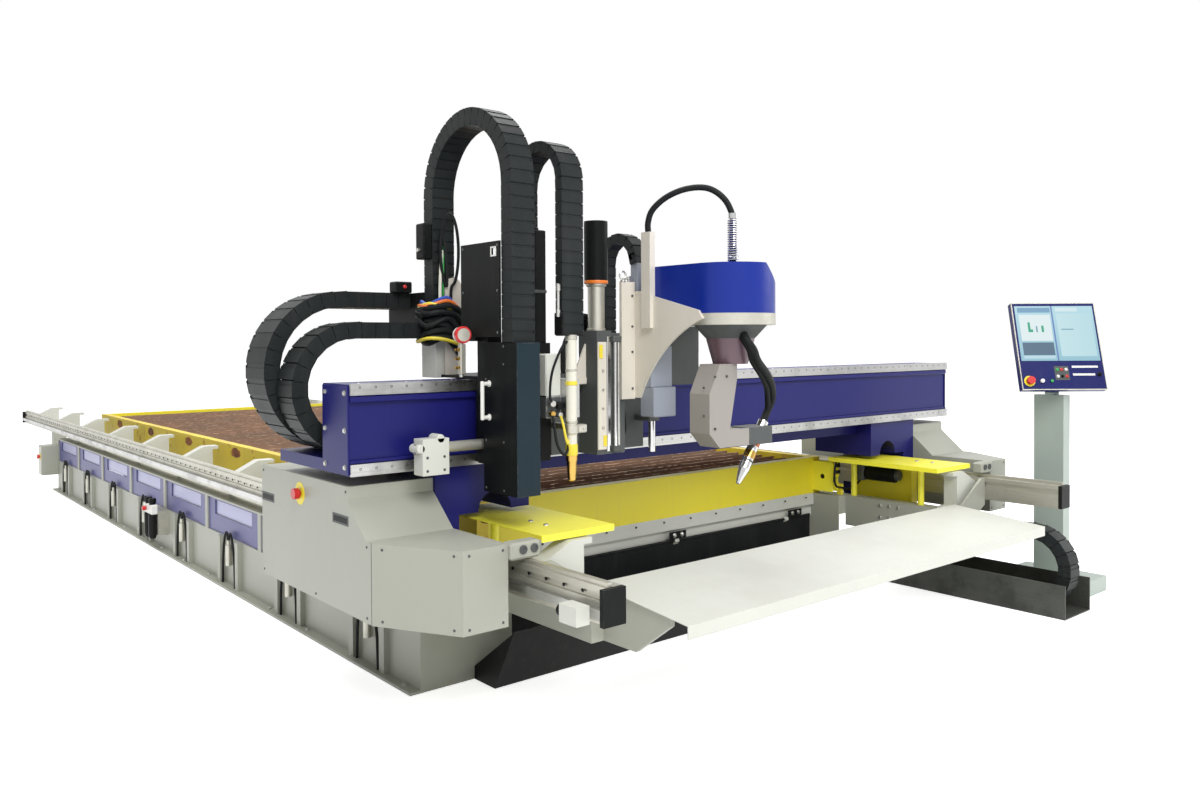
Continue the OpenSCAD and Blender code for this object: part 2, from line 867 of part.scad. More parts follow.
// Grey beam under the table's front wall, with the curtain's hinge ears
module front_crossbeam() color(grey) {
    block([-table_x0, table_y0, cross_z], [table_x0, table_y0 + cross_d, base_top]);
    block([-table_x0, table_y0 + strip_inset, strip_z],
        [table_x0, table_y0 + strip_inset + strip_d, cross_z]);
    for (x = ear_xs) difference() {
        union() {
            rod_x(x - ear_w / 2, x + ear_w / 2, curtain_pin_y, curtain_pin_z, ear_r);
            block([x - ear_w / 2, curtain_pin_y, curtain_pin_z - ear_r],
                [x + ear_w / 2, table_y0 + strip_inset, curtain_pin_z + ear_r]);
        }
        rod_x(x - ear_w, x + ear_w, curtain_pin_y, curtain_pin_z, curtain_pin_r + pin_gap);
    }
}

// Hanging curtain that the slag is pushed out under
module curtain_flap() color(black) difference() {
    union() {
        rod_x(-curtain_w / 2, curtain_w / 2, curtain_pin_y, curtain_pin_z, curtain_pin_r);
        block([-curtain_w / 2, curtain_pin_y - curtain_t / 2, pan_top + curtain_gap],
            [curtain_w / 2, curtain_pin_y + curtain_t / 2, curtain_pin_z]);
    }
    for (x = ear_xs) difference() {
        block([x - ear_w / 2 - ear_clear, curtain_pin_y - ear_r, curtain_pin_z - ear_r - ear_clear],
            [x + ear_w / 2 + ear_clear, curtain_pin_y + ear_r, curtain_pin_z + ear_r]);
        rod_x(x - ear_w, x + ear_w, curtain_pin_y, curtain_pin_z, curtain_pin_r);
    }
}

// Extruded travel rails with their guide bars
module travel_rails() color(alloy) both_sides() {
    low = rail_z + groove_shares[0] * rail_h;
    high = rail_z + groove_shares[1] * rail_h;
    along_y(rail_y1, rail_l) polygon([[rail_in, rail_z], [rail_out, rail_z], [rail_out, low],
        [rail_out - groove_d, low], [rail_out - groove_d, high], [rail_out, high], [rail_out, rail_top],
        [guide_x1, rail_top], [guide_x1, rail_top + guide_h], [guide_x1 - guide_w, rail_top + guide_h],
        [guide_x1 - guide_w, rail_top], [rail_in, rail_top], [rail_in, high], [rail_in + groove_d, high],
        [rail_in + groove_d, low], [rail_in, low]]);
}

// Rack strips on the outer faces of the rails
module gear_racks() color(steel) both_sides()
    block([rail_out, rail_y0, rack_z], [rail_out + rack_w, rail_y1, rack_z + rack_h]);

// Cast brackets that hold the rails: low at the rail, with a flat cap near the table wall
module rail_brackets() color(pale_grey) both_sides() for (y = bracket_ys) {
    cap_x1 = rail_in - bracket_slope;
    cap_x0 = cap_x1 - bracket_cap_w;
    cap_z = table_top_z - bracket_cap_drop;
    along_y(y + bracket_l / 2, bracket_l) polygon([[rail_in, base_top], [rail_in, rail_top - bracket_drop],
        [cap_x1, cap_z], [cap_x0, cap_z], [cap_x0, cap_z - bracket_cap_t],
        [cap_x0 + bracket_cap_lip, cap_z - bracket_cap_t],
        [cap_x0 + bracket_cap_lip, base_top + bracket_foot_t],
        [bracket_foot, base_top + bracket_foot_t], [bracket_foot, base_top]]);
}

// End plates of the rails and the gantry stops with their pads
module rail_ends() color(black) both_sides() {
    for (y = [rail_y0 - end_plate_t, rail_y1])
        block([rail_in, y, rail_z], [rail_out + rack_w, y + end_plate_t, rail_top]);
    y = rail_y0 + stop_reach;
    block([rail_out + rack_w, y - stop_l, rail_z], [rail_out + rack_w + stop_w, y, rail_z + stop_h]);
    rod_y(y, y + stop_pad_l, rail_out + rack_w + stop_w / 2, rail_z + stop_h / 2, stop_pad_r);
}

// Front arms that carry the rails' overhang, with gussets and apron arms
module outriggers() color(grey) both_sides() {
    block([outrig_x0, outrig_y0, base_top - outrig_h], [outrig_x0 + outrig_w, base_y0, base_top]);
    along_y(outrig_y0 + gusset_t, gusset_t) polygon([[outrig_x0, base_top - gusset_h],
        [outrig_x0 + outrig_w, base_top - gusset_h], [rail_in, rail_z - gusset_drop], [rail_in, rail_top],
        [rail_in - gusset_lip, rail_top], [outrig_x0, base_top]]);
    along_x(apron_arm_x0, outrig_x0 + apron_arm_t - apron_arm_x0) polygon([[outrig_y0, base_top - outrig_h],
        [outrig_y0, apron_under(outrig_y0)],
        [outrig_y0 - apron_arm_l, apron_under(outrig_y0 - apron_arm_l)],
        [outrig_y0 - apron_arm_l, apron_under(outrig_y0 - apron_arm_l) - apron_arm_h / 2],
        [outrig_y0 - apron_arm_l / 2, base_top - outrig_h]]);
}

// Height of the apron's underside at a place along Y
function apron_under(y) = apron_front_z - sheet_t
    + (apron_back_z - apron_front_z) * (y - apron_y0) / (apron_y1 - apron_y0);

// Yellow deck plates on standoffs, with the frame of the scoop's sprocket
module deck_plates() color(yellow) {
    both_sides() {
        block([deck_x0, deck_y1 - deck_l, deck_top_z - deck_t], [deck_x0 + deck_w, deck_y1, deck_top_z]);
        block([deck_x0, deck_y1 - deck_l, deck_top_z - deck_lip],
            [deck_x0 + deck_w, deck_y1 - deck_l + deck_t, deck_top_z]);
        block([deck_x0, deck_y1 - deck_l, deck_top_z - deck_lip], [deck_x0 + deck_t, deck_y1, deck_top_z]);
        for (y = [deck_y1 - deck_l + 2 * standoff_inset, deck_y1 - standoff_inset])
            rod_z(outrig_x0 + outrig_w / 2, y, base_top, deck_top_z - deck_t, standoff_r);
    }
    difference() {
        union() for (x = [sprocket_plate_x, sprocket_x1 - sprocket_t - sprocket_gap - sprocket_plate_t])
            block([x, table_y0 - sprocket_frame_l, sprocket_z - sprocket_frame_h / 2],
                [x + sprocket_plate_t, table_y0, sprocket_z + sprocket_frame_h / 2]);
        rod_x(sprocket_x1 - 2 * sprocket_r, table_x1 + sprocket_r, sprocket_y, sprocket_z,
            sprocket_shaft_r + pin_gap);
    }
}

// Sprocket that pulls the scoop, on its shaft
module scoop_sprocket() color(black) {
    rod_x(sprocket_x1 - sprocket_t - sprocket_gap - sprocket_plate_t, table_x1, sprocket_y, sprocket_z,
        sprocket_shaft_r);
    rod_x(sprocket_x1 - sprocket_t, sprocket_x1, sprocket_y, sprocket_z, sprocket_r);
    rod_x(sprocket_x1 - sprocket_t - sprocket_gap + slide_gap, sprocket_plate_x - slide_gap, sprocket_y,
        sprocket_z, sprocket_hub_r);
}

// Sloping apron tray
module apron() color(pale_grey) along_x(-apron_w / 2, apron_w) polygon([[apron_y1, apron_back_z],
    [apron_y0, apron_front_z], [apron_y0, apron_front_z - apron_lip],
    [apron_y0 + sheet_t, apron_front_z - apron_lip], [apron_y0 + sheet_t, apron_under(apron_y0 + sheet_t)],
    [apron_y1 - sheet_t, apron_under(apron_y1 - sheet_t)],
    [apron_y1 - sheet_t, apron_back_z - apron_back_lip],
    [apron_y1, apron_back_z - apron_back_lip]]);

// Trough for the slag in front of the table
module slag_hopper() color(black) {
    outer = [[hopper_y1, 0], [hopper_y1, hopper_back_z], [hopper_y1 - hopper_wall, hopper_back_z],
        [hopper_y1 - hopper_wall, hopper_wall], [hopper_y1 - hopper_floor_l, hopper_wall],
        [hopper_y1 - hopper_depth + hopper_wall, hopper_rim_z], [hopper_y1 - hopper_depth, hopper_rim_z],
        [hopper_y1 - hopper_floor_l - hopper_wall, 0]];
    along_x(hopper_x0, hopper_x1 - hopper_x0) polygon(outer);
    cheek = [[hopper_y1, 0], [hopper_y1, hopper_back_z], [hopper_y1 - hopper_depth, hopper_rim_z],
        [hopper_y1 - hopper_floor_l - hopper_wall, 0]];
    for (x = [hopper_x0, hopper_x1 - hopper_wall]) along_x(x, hopper_wall) polygon(cheek);
}

// Scoop that pushes the slag along the pan
module slag_scoop() color(rust) {
    half = table_x0 - scoop_side_gap;
    along_x(-half, 2 * half) polygon([[scoop_y1, pan_top + slide_gap], [scoop_y1, pan_top + scoop_h],
        [scoop_y1 - scoop_d / 2, pan_top + scoop_h], [scoop_y1 - scoop_d / 2, pan_top + scoop_d],
        [scoop_y1 - scoop_lip, pan_top + slide_gap]]);
}

// Galvanised channel on the floor for the energy chain
module floor_channel() color(steel) {
    block([channel_x0, front_y, 0], [channel_x1, channel_y1, channel_t]);
    for (x = [channel_x0, channel_x1 - channel_t])
        block([x, front_y, channel_t], [x + channel_t, channel_y1, channel_h]);
}

// Floor chain: the run in the channel, the bend, and the run to the gantry
module floor_chain_base() color(chain_black)
    block([floor_chain_x0, floor_chain_y, floor_chain_z - floor_bend_r],
        [floor_chain_x0 + chain_w, floor_chain_end, floor_chain_z - floor_bend_r + chain_band]);

module floor_chain_bend() color(chain_black)
    translate([floor_chain_x0, floor_chain_y, floor_chain_z]) rotate([90, 0, 90]) rotate([0, 0, 90])
        bend(floor_bend_r, chain_band, chain_w, 180);

module floor_chain_top() color(chain_black)
    block([floor_chain_x0, floor_chain_y, floor_chain_z + floor_bend_r - chain_band],
        [floor_chain_x0 + chain_w, chain_arm_y, floor_chain_z + floor_bend_r]);

// Hollow gantry beam with a stepped front
module gantry_beam() color(beam_blue) {
    y0 = beam_y0 + strip_t;
    recess = [for (s = beam_recess_shares) beam_z + s * beam_h];
    difference() {
        along_x(-beam_x1, beam_l) polygon([[y0, beam_z], [beam_y1, beam_z], [beam_y1, beam_top],
            [y0, beam_top], [y0, recess[1] + beam_recess], [y0 + beam_recess, recess[1]],
            [y0 + beam_recess, recess[0] + beam_recess], [y0, recess[0]]]);
        block([-beam_x1 + beam_wall, y0 + beam_recess + beam_wall, beam_z + beam_wall],
            [beam_x1 - beam_wall, beam_y1 - beam_wall, beam_top - beam_wall]);
    }
}

// Steel guide strips on the beam's front edges
module guide_strips() color(steel) for (z = [beam_z, beam_top - strip_h + strip_rise])
    block([-beam_x1, beam_y0, z], [beam_x1, beam_y0 + strip_t, z + strip_h]);

// Tray behind the beam for its chains, and the tie bar under the beam
module chain_tray() color(beam_blue) {
    block([-beam_x1, beam_y1, tray_z1 - tray_t], [tray_x1, beam_y1 + tray_d, tray_z1]);
    block([-leg_in_x, beam_y0 + leg_front + tie_d, beam_z - tie_drop - tie_h],
        [leg_in_x, beam_y0 + leg_front + 2 * tie_d, beam_z - tie_drop]);
}

// Gantry legs with their guide shoes, and the arm that leads the floor chain
module gantry_legs() color(beam_blue) {
    shoe_x1 = guide_x1 + shoe_edge;
    shoe_x0 = guide_x1 - guide_w - shoe_edge;
    both_sides() {
        difference() {
            along_y(leg_y1, leg_d) polygon([[leg_in_x, beam_z], [leg_in_x, leg_under_z],
                [shoe_x0, leg_under_z], [shoe_x0, leg_low_z], [cover_x0, leg_low_z], [cover_x0, beam_z]]);
            rod_y(beam_y0, leg_y1 + over, (leg_in_x + shoe_x0) / 2, leg_under_z, leg_arch_r);
        }
        for (y = [beam_y0 + leg_front, leg_y1 - shoe_l]) difference() {
            block([shoe_x0, y, rail_top + shoe_lift], [shoe_x1, y + shoe_l, leg_low_z]);
            block([guide_x1 - guide_w - slide_gap, y - over, rail_top],
                [guide_x1 + slide_gap, y + shoe_l + over, rail_top + guide_h + slide_gap]);
        }
    }
    low = floor_chain_z + floor_bend_r - chain_band;
    y1 = chain_arm_y + chain_arm_l;
    block([chain_arm_x1 - chain_arm_t, leg_y1, leg_low_z], [chain_arm_x1, y1, leg_low_z + chain_arm_t]);
    block([chain_arm_x1 - chain_arm_t, chain_arm_y, low], [chain_arm_x1, y1, leg_low_z + chain_arm_t]);
    block([floor_chain_x0, chain_arm_y, low], [chain_arm_x1, y1, floor_chain_z + floor_bend_r]);
}

// Outline of a carriage cover, shrunk by t, as the crossing of its side and plan views
module cover_form(t) {
    y0 = cover_y0 + t;
    y1 = cover_y1 - t;
    step = beam_y0 + cover_step + t;
    top = cover_top_z - t;
    nose = cover_nose_z - t;
    x0 = cover_x0 + t;
    x1 = cover_x1 - t;
    low = t > 0 ? cover_z - over : cover_z;
    intersection() {
        along_x(x0, x1 - x0) polygon([[y1, low], [y1, top], [step, top], [step, cover_top_z - cover_step_h],
            [step - cover_slope, nose], [y0, nose], [y0, low]]);
        translate([0, 0, low]) linear_extrude(top) polygon([[x0, y1], [x1, y1], [x1, y0 + cover_chamfer_l],
            [x1 - cover_chamfer_w, y0], [x0, y0]]);
    }
}

// Sheet cover of a gantry carriage, open below, with the drive's window
module carriage_cover() difference() {
    cover_form(0);
    cover_form(sheet_t);
    block([cover_x0 - over, drive_y - drive_l / 2 - window_gap, rack_z - pinion_over - window_gap],
        [cover_x0 + 2 * sheet_t, drive_y + drive_l / 2 + window_gap, leg_low_z + window_gap]);
}

module cover_left() color(grey) difference() {
    mirror([1, 0, 0]) carriage_cover();
    rod_x(-cover_x1 - over, -cover_x1 + 2 * sheet_t, gantry_estop_y, gantry_estop_z,
        estop_stem_r + estop_bore_gap);
}

module cover_right() color(grey) carriage_cover();

// Gearboxes under the legs and motors inside the covers
module drive_units() color(black) both_sides() {
    x0 = pinion_x - pinion_r + drive_edge;
    x1 = cover_x0 + drive_reach;
    difference() {
        block([x0, drive_y - drive_l / 2, drive_z0], [x1, drive_y + drive_l / 2, leg_low_z]);
        rod_z(pinion_x, drive_y, drive_z0 - over, drive_z0 + pinion_shaft_l + over,
            pinion_shaft_r + pin_gap);
    }
    rod_x(x1, x1 + motor_l, drive_y, (drive_z0 + leg_low_z) / 2, motor_r);
}

// Drive pinion on its shaft, running on the rack
module drive_pinion(x) {
    rod_z(x, drive_y, rack_z - pinion_over, rack_z + rack_h + pinion_over, pinion_r);
    rod_z(x, drive_y, rack_z, drive_z0 + pinion_shaft_l, pinion_shaft_r);
}

module pinion_left() color(steel) drive_pinion(-pinion_x);

module pinion_right() color(steel) drive_pinion(pinion_x);

// Emergency stop button: a mushroom head on a stem, pointing along +Z
module mushroom(lift, head_r, head_h, stem_r, stem_l) {
    translate([0, 0, lift]) cylinder(h = head_h, r = head_r);
    translate([0, 0, -stem_l]) cylinder(h = stem_l + lift, r = stem_r);
}

module gantry_estop() color(red) translate([-cover_x1, gantry_estop_y, gantry_estop_z]) rotate([0, -90, 0])
    mushroom(estop_lift, estop_r, estop_h, estop_stem_r, estop_stem_l);

// Plate on the beam's front that a torch station hangs from, hooked over its guide strips
module station_plate(x0, x1, back) {
    block([x0, carriage_y0, carriage_z0], [x1, carriage_y0 + carriage_t, carriage_z1]);
    block([x0, carriage_y0, carriage_z1], [x1, carriage_y0 + carriage_t, hook_z + hook_t]);
    block([x0, carriage_y0, hook_z], [x1, back, hook_z + hook_t]);
}

// Shared carriage of the plasma and oxy-fuel stations
module torch_carriage() color(grey) {
    far0 = plasma_chain_c + plasma_bend_r - chain_t;
    side_x1 = plasma_x - plasma_w / 2 - slide_gap;
    back0 = far0 + chain_t + tray_top_gap;
    station_plate(torch_car_x0, torch_car_x1, back0 + arm_post_d);
    block([plasma_x - plasma_column_w / 2, plasma_y1 + slide_gap, carriage_z0],
        [plasma_x + plasma_column_w / 2, column_y1, plasma_column_z1]);
    block([oxy_x - oxy_column_w / 2, oxy_column_y0, carriage_z0],
        [oxy_x + oxy_column_w / 2, column_y1, oxy_column_z1]);
    block([plasma_x - chain_w / 2 + chain_foot_in, far0, hook_z],
        [plasma_x + chain_w / 2, far0 + chain_t, chain_foot_z]);
    block([oxy_x - oxy_motor_left - oxy_motor_w / 2, oxy_column_y0 + oxy_motor_back, oxy_column_z1],
        [oxy_x - oxy_motor_left + oxy_motor_w / 2, oxy_column_y0 + oxy_motor_back + oxy_motor_d,
            oxy_motor_z1]);
    block([oxy_x - chain_w / 2, oxy_chain_c + oxy_bend_r - oxy_chain_t, hook_z],
        [oxy_x + chain_w / 2, oxy_chain_c + oxy_bend_r, chain_foot_z]);
    // Post and arm back to the tray chains, and the plate at the chains' ends
    block([plasma_x - arm_w / 2, back0, hook_z], [plasma_x + arm_w / 2, back0 + arm_post_d, arm_z]);
    block([plasma_x - arm_w / 2, back0, arm_z - arm_h], [plasma_x + arm_w / 2, wide_y1, arm_z]);
    block([tray_top_x, back0, narrow_z + narrow_bend_r - chain_band],
        [tray_top_x + riser_t, wide_y1, wide_z + wide_bend_r]);
    // Side plate with a square hole
    difference() {
        block([side_x1 - side_plate_t, side_plate_y0, side_plate_z0],
            [side_x1, side_plate_y0 + side_plate_d, side_plate_z0 + side_plate_h]);
        translate([side_x1 - plasma_w, side_plate_y0 + side_hole,
            side_plate_z0 + side_plate_h - 2 * side_hole])
            cube([2 * plasma_w, side_hole, side_hole]);
    }
    block([side_x1 - side_plate_t, plasma_y1 + 2 * side_hole, plasma_column_z1 - side_hole],
        [plasma_x, plasma_y1 + 4 * side_hole, side_plate_z0 + side_hole]);
    // Tie tube and its clamp
    rod_x(tube_x0, torch_car_x0, tube_y, tube_z, tube_r);
    block([torch_car_x0, tube_y - tube_r, tube_z - tube_r],
        [torch_car_x0 + tube_r, carriage_front, tube_z + tube_r]);
    difference() {
        block([tube_x0 + clamp_inset, tube_y - clamp_d / 2, tube_z - clamp_low],
            [tube_x0 + clamp_inset + clamp_w, carriage_front, tube_z + clamp_high]);
        rod_x(tube_x0, torch_car_x0, tube_y, tube_z, tube_r - over);
    }
}

// Black cover of the plasma station with a handle on its side
module plasma_cover() color(black) {
    x0 = plasma_x - plasma_w / 2;
    x1 = plasma_x + plasma_w / 2;
    difference() {
        block([x0, plasma_y0, plasma_z], [x1, plasma_y1, plasma_z + plasma_h]);
        block([x0 + plasma_wall, plasma_y0 + plasma_wall, plasma_z - over],
            [x1 - plasma_wall, plasma_y1 - plasma_wall, plasma_z + plasma_h - plasma_wall]);
    }
    for (z = [handle_z, handle_z + handle_l]) rod_x(x0 - handle_out, x0, handle_y, z, handle_r);
    rod_z(x0 - handle_out, handle_y, handle_z - handle_r, handle_z + handle_l + handle_r, handle_r);
}

// Plasma torch inside its cover, on a clamp block at the rear wall
module plasma_torch() color(steel) {
    y = (plasma_y0 + plasma_y1) / 2;
    low = plasma_z - plasma_torch_out;
    translate([plasma_x, y, low]) cylinder(h = plasma_tip_l, r1 = plasma_tip_r, r2 = plasma_torch_r);
    rod_z(plasma_x, y, low + plasma_tip_l, low + plasma_torch_l, plasma_torch_r);
    block([plasma_x - plasma_torch_r, y, low + plasma_torch_l / 2],
        [plasma_x + plasma_torch_r, plasma_y1 - plasma_wall, low + plasma_torch_l]);
}

// Chain arch in the YZ plane: a near leg, a half bend and a far leg
module chain_arch(x, yc, zc, r, t, w, near_z, far_z) {
    translate([x - w / 2, yc, zc]) rotate([90, 0, 90]) bend(r, t, w, 180);
    block([x - w / 2, yc - r, near_z], [x + w / 2, yc - r + t, zc]);
    block([x - w / 2, yc + r - t, far_z], [x + w / 2, yc + r, zc]);
}

module plasma_chain() color(chain_black) chain_arch(plasma_x, plasma_chain_c, plasma_chain_z, plasma_bend_r,
    chain_t, chain_w, plasma_z + plasma_h + slide_gap, chain_foot_z);

module oxy_chain() color(chain_black) chain_arch(oxy_x, oxy_chain_c, oxy_chain_z, oxy_bend_r,
    oxy_chain_t, chain_w, oxy_top_z + slide_gap, chain_foot_z);

module bevel_chain() color(chain_black) chain_arch(bevel_chain_x0 + bevel_chain_w / 2,
    bevel_chain_c, bevel_chain_z, bevel_bend_r, bevel_chain_t, bevel_chain_w, bevel_near_z,
    hook_z + hook_t);

// Oxy-fuel torch with its tip, clamp block and valve box
module oxy_torch() color(alloy) {
    translate([oxy_torch_x, oxy_y, oxy_tip_z]) cylinder(h = oxy_tip_l, r1 = oxy_tip_r, r2 = oxy_d / 2);
    rod_z(oxy_torch_x, oxy_y, oxy_tip_z + oxy_tip_l, oxy_top_z, oxy_d / 2);
    block([oxy_x - oxy_block_w / 2, oxy_y, oxy_block_z0],
        [oxy_x + oxy_block_w / 2, oxy_column_y0 - slide_gap, oxy_block_z0 + oxy_block_h]);
    block([oxy_x - oxy_block_w / 2 - oxy_box_w, oxy_y + oxy_d, oxy_block_z0],
        [oxy_x - oxy_block_w / 2, oxy_y + oxy_d + oxy_box_d, oxy_block_z0 + oxy_box_h]);
}

// Chains in the tray behind the beam: runs in the tray, bends, and runs to the carriage
module tray_run(c, z, y1, w, x1) block([c, y1 - w, z], [x1, y1, z + chain_band]);

module tray_bend(c, z, r, y1, w) translate([c, y1, z]) rotate([90, 0, 0]) rotate([0, 0, 90])
    bend(r, chain_band, w, 180);

module tray_chain_base() color(chain_black) {
    tray_run(wide_c, wide_z - wide_bend_r, wide_y1, wide_w, tray_base_x);
    tray_run(narrow_c, narrow_z - narrow_bend_r, narrow_y1, narrow_w, tray_base_x);
}

module tray_chain_tops() color(chain_black) {
    tray_run(wide_c, wide_z + wide_bend_r - chain_band, wide_y1, wide_w, tray_top_x - slide_gap);
    tray_run(narrow_c, narrow_z + narrow_bend_r - chain_band, narrow_y1, narrow_w, tray_top_x - slide_gap);
}

module tray_chain_bends() color(chain_black) {
    tray_bend(wide_c, wide_z, wide_bend_r, wide_y1, wide_w);
    tray_bend(narrow_c, narrow_z, narrow_bend_r, narrow_y1, narrow_w);
}

// Carriage of the bevel station with its column and lift motor
module bevel_carriage() color(grey) {
    station_plate(bevel_car_x0, bevel_car_x1, bevel_chain_c + bevel_bend_r);
    block([bevel_column_x0, bevel_plate_y1 + slide_gap, carriage_z0],
        [bevel_column_x0 + bevel_column_w, column_y1, bevel_column_z1]);
    block([spindle_x - spindle_w / 2, bevel_plate_y1 + slide_gap, carriage_z0],
        [spindle_x + spindle_w / 2, column_y1, spindle_z1]);
    rod_z(spindle_x, spindle_y, spindle_z1, spindle_rod_z1, spindle_rod_r);
    rod_z(spindle_x, spindle_y, spindle_rod_z1, spindle_motor_z1, spindle_motor_r);
}

// Lifting bracket of the bevel head: back plate, cheek with a hollow curve, post and chain block
module bevel_bracket() color(pale_grey) {
    block([bevel_plate_x0, bevel_plate_y0, bevel_plate_z0],
        [bevel_side_x - side_t, bevel_plate_y1, bevel_plate_z1]);
    difference() {
        along_x(bevel_side_x - side_t, side_t) polygon([[cheek_y1, cheek_z0], [cheek_y1, cheek_z1],
            [head_y1 + bevel_post_d, cheek_z1], [head_y1, cheek_brow_z],
            [cheek_tip_y + cheek_tip_back, cheek_tip_z + cheek_tip_rise], [cheek_tip_y, cheek_tip_z],
            [cheek_y1 - cheek_foot_lead, cheek_z0]]);
        rod_x(bevel_side_x - 2 * side_t, bevel_side_x + side_t, cheek_cut_y, cheek_cut_z, cheek_cut_r);
    }
    block([bevel_side_x - bevel_post_w, head_y1, bevel_post_z0],
        [bevel_side_x, head_y1 + bevel_post_d, bevel_post_z1]);
    block([bevel_side_x, bevel_chain_c - bevel_bend_r, bevel_block_z0],
        [bevel_chain_x0 + bevel_chain_w, bevel_chain_c - bevel_bend_r + bevel_chain_t,
            bevel_near_z - slide_gap]);
}

// Housing of the bevel head: flat sides, a round nose, and a slanted cut at one corner of the nose
module bevel_housing() color(head_blue) {
    top = head_z0 + head_h;
    half = head_w / 2;
    difference() {
        union() {
            rod_z(head_x, head_axis_y, head_z0, top, half);
            block([head_x - half, head_axis_y, head_z0], [head_x + half, head_y1, top]);
        }
        rod_z(head_x, head_axis_y, head_z0 - over, head_z0 + head_band_h, neck_r / 2 + pin_gap);
        translate([head_x, head_axis_y, top - head_chamfer]) rotate([0, 0, -head_nose_turn])
            along_y(head_w, 2 * head_w) polygon([[half, 0], [2 * half, 0], [2 * half, 2 * head_chamfer],
                [half - 2 * head_chamfer_w, 2 * head_chamfer]]);
    }
    rod_z(head_x + hose_fitting_right, head_axis_y, top, top + hose_fitting_h, hose_fitting_r);
}

// Hose that arches from the bracket's post to the housing
module bevel_hose() color(black) tube(bevel_hose_route, bevel_hose_r, [-0.5, -0.6, 0.6], 10);

// Wire spring that guards the hose's end at the housing
guard_coil_r = (bevel_hose_r + guard_gap + guard_wire_r) / cos(180 / guard_curl_rings);
guard_rise = (guard_l - 2 * guard_wire_r) / guard_curls;
guard_route = [for (i = [0:guard_curls * guard_curl_rings]) let (turn = i / guard_curl_rings)
    bevel_hose_end + [guard_coil_r * cos(360 * turn), guard_coil_r * sin(360 * turn),
        guard_wire_r + guard_rise * turn]];
guard_self_gap = min([for (i = [0:len(guard_route) - 1], j = [i + guard_curl_rings / 2:len(guard_route) - 1])
    norm(guard_route[i] - guard_route[j])]) - 2 * guard_wire_r;
echo(str("Least gap of the spring guard to itself: ", guard_self_gap, " mm"));

module spring_guard() color(steel) tube(guard_route, guard_wire_r, [0, 0, 1], 6);

// Turning arm of the bevel head: neck, cone and cranked arm cover
module bevel_arm() color(pale_grey) {
    translate([head_x, head_axis_y, neck_z])
        cylinder(h = head_z0 - slide_gap - neck_z, r1 = neck_r, r2 = bowl_r);
    rod_z(head_x, head_axis_y, neck_z, head_z0 + head_band_h - slide_gap, neck_r / 2);
    translate([head_x, head_axis_y, cone_z]) cylinder(h = neck_z - cone_z, r1 = cone_low_r, r2 = cone_r);
    along_y(head_axis_y + arm_d / 2, arm_d) polygon([[arm_x0 + arm_bend_h / 2, cone_z], [arm_x1, cone_z],
        [arm_x1, cone_z - arm_bend_h / 2], [arm_x0 + arm_bend_h, arm_low_z + arm_shoe_h],
        [arm_shoe_x1, arm_low_z + arm_shoe_h], [arm_shoe_x1, arm_low_z],
        [arm_x0 + arm_bend_h / 2, arm_low_z],
        [arm_x0, arm_low_z + arm_bend_h / 2], [arm_x0, cone_z - arm_bend_h]]);
    difference() {
        block([arm_shoe_x1, head_axis_y - arm_d / 2, arm_low_z],
            [tilt_x + tilt_boss_r, head_axis_y - arm_d / 2 + tilt_plate_t, arm_low_z + arm_shoe_h]);
        rod_y(head_axis_y - arm_d, head_axis_y, tilt_x, tilt_z, tilt_pin_r + pin_gap);
    }
    difference() {
        block([arm_shoe_x1, head_axis_y + arm_d / 2 - tilt_plate_t, arm_low_z],
            [tilt_x + tilt_boss_r, head_axis_y + arm_d / 2, arm_low_z + arm_shoe_h]);
        rod_y(head_axis_y, head_axis_y + arm_d, tilt_x, tilt_z, tilt_pin_r + pin_gap);
    }
}

// Tilting torch of the bevel head on its pin
module bevel_torch() color(steel) {
    rod_y(head_axis_y - arm_d / 2, head_axis_y + arm_d / 2, tilt_x, tilt_z, tilt_pin_r);
    boss = arm_d / 2 - tilt_plate_t - slide_gap;
    rod_y(head_axis_y - boss, head_axis_y + boss, tilt_x, tilt_z, tilt_boss_r);
    translate([tilt_x, head_axis_y, tilt_z]) rotate([0, tilt_lean, 0]) {
        translate([0, 0, torch_tip_l - torch_down])
            cylinder(h = torch_down + torch_up - torch_tip_l, r = torch_r);
        translate([0, 0, -torch_down]) cylinder(h = torch_tip_l, r1 = torch_tip_r, r2 = torch_r);
    }
}

// Hose from the turning neck to the torch
module torch_hose() color(black) tube(torch_hose_route, torch_hose_r, [0, 1, 0], 10);

// Console base, cable duct and post
module console_stand() color(pale_grey) {
    block([console_base_x0, console_base_y0, 0], [console_base_x1, console_base_y1, console_base_h]);
    block([channel_x1, post_y - duct_w / 2, 0], [console_base_x0, post_y + duct_w / 2, duct_h]);
    block([post_x - post_d_x / 2, post_y - post_d_y / 2, console_base_h],
        [post_x + post_d_x / 2, post_y + post_d_y / 2, post_top_z]);
    rod_z(post_x, post_y, post_top_z, post_top_z + swivel_h, swivel_r);
}

// Places children on the panel's face: x to the right, y up the slant, z out of the face
module on_panel() translate([panel_x, panel_y, panel_z]) rotate([0, 0, -panel_yaw])
    rotate([90 - panel_tilt, 0, 0]) children();

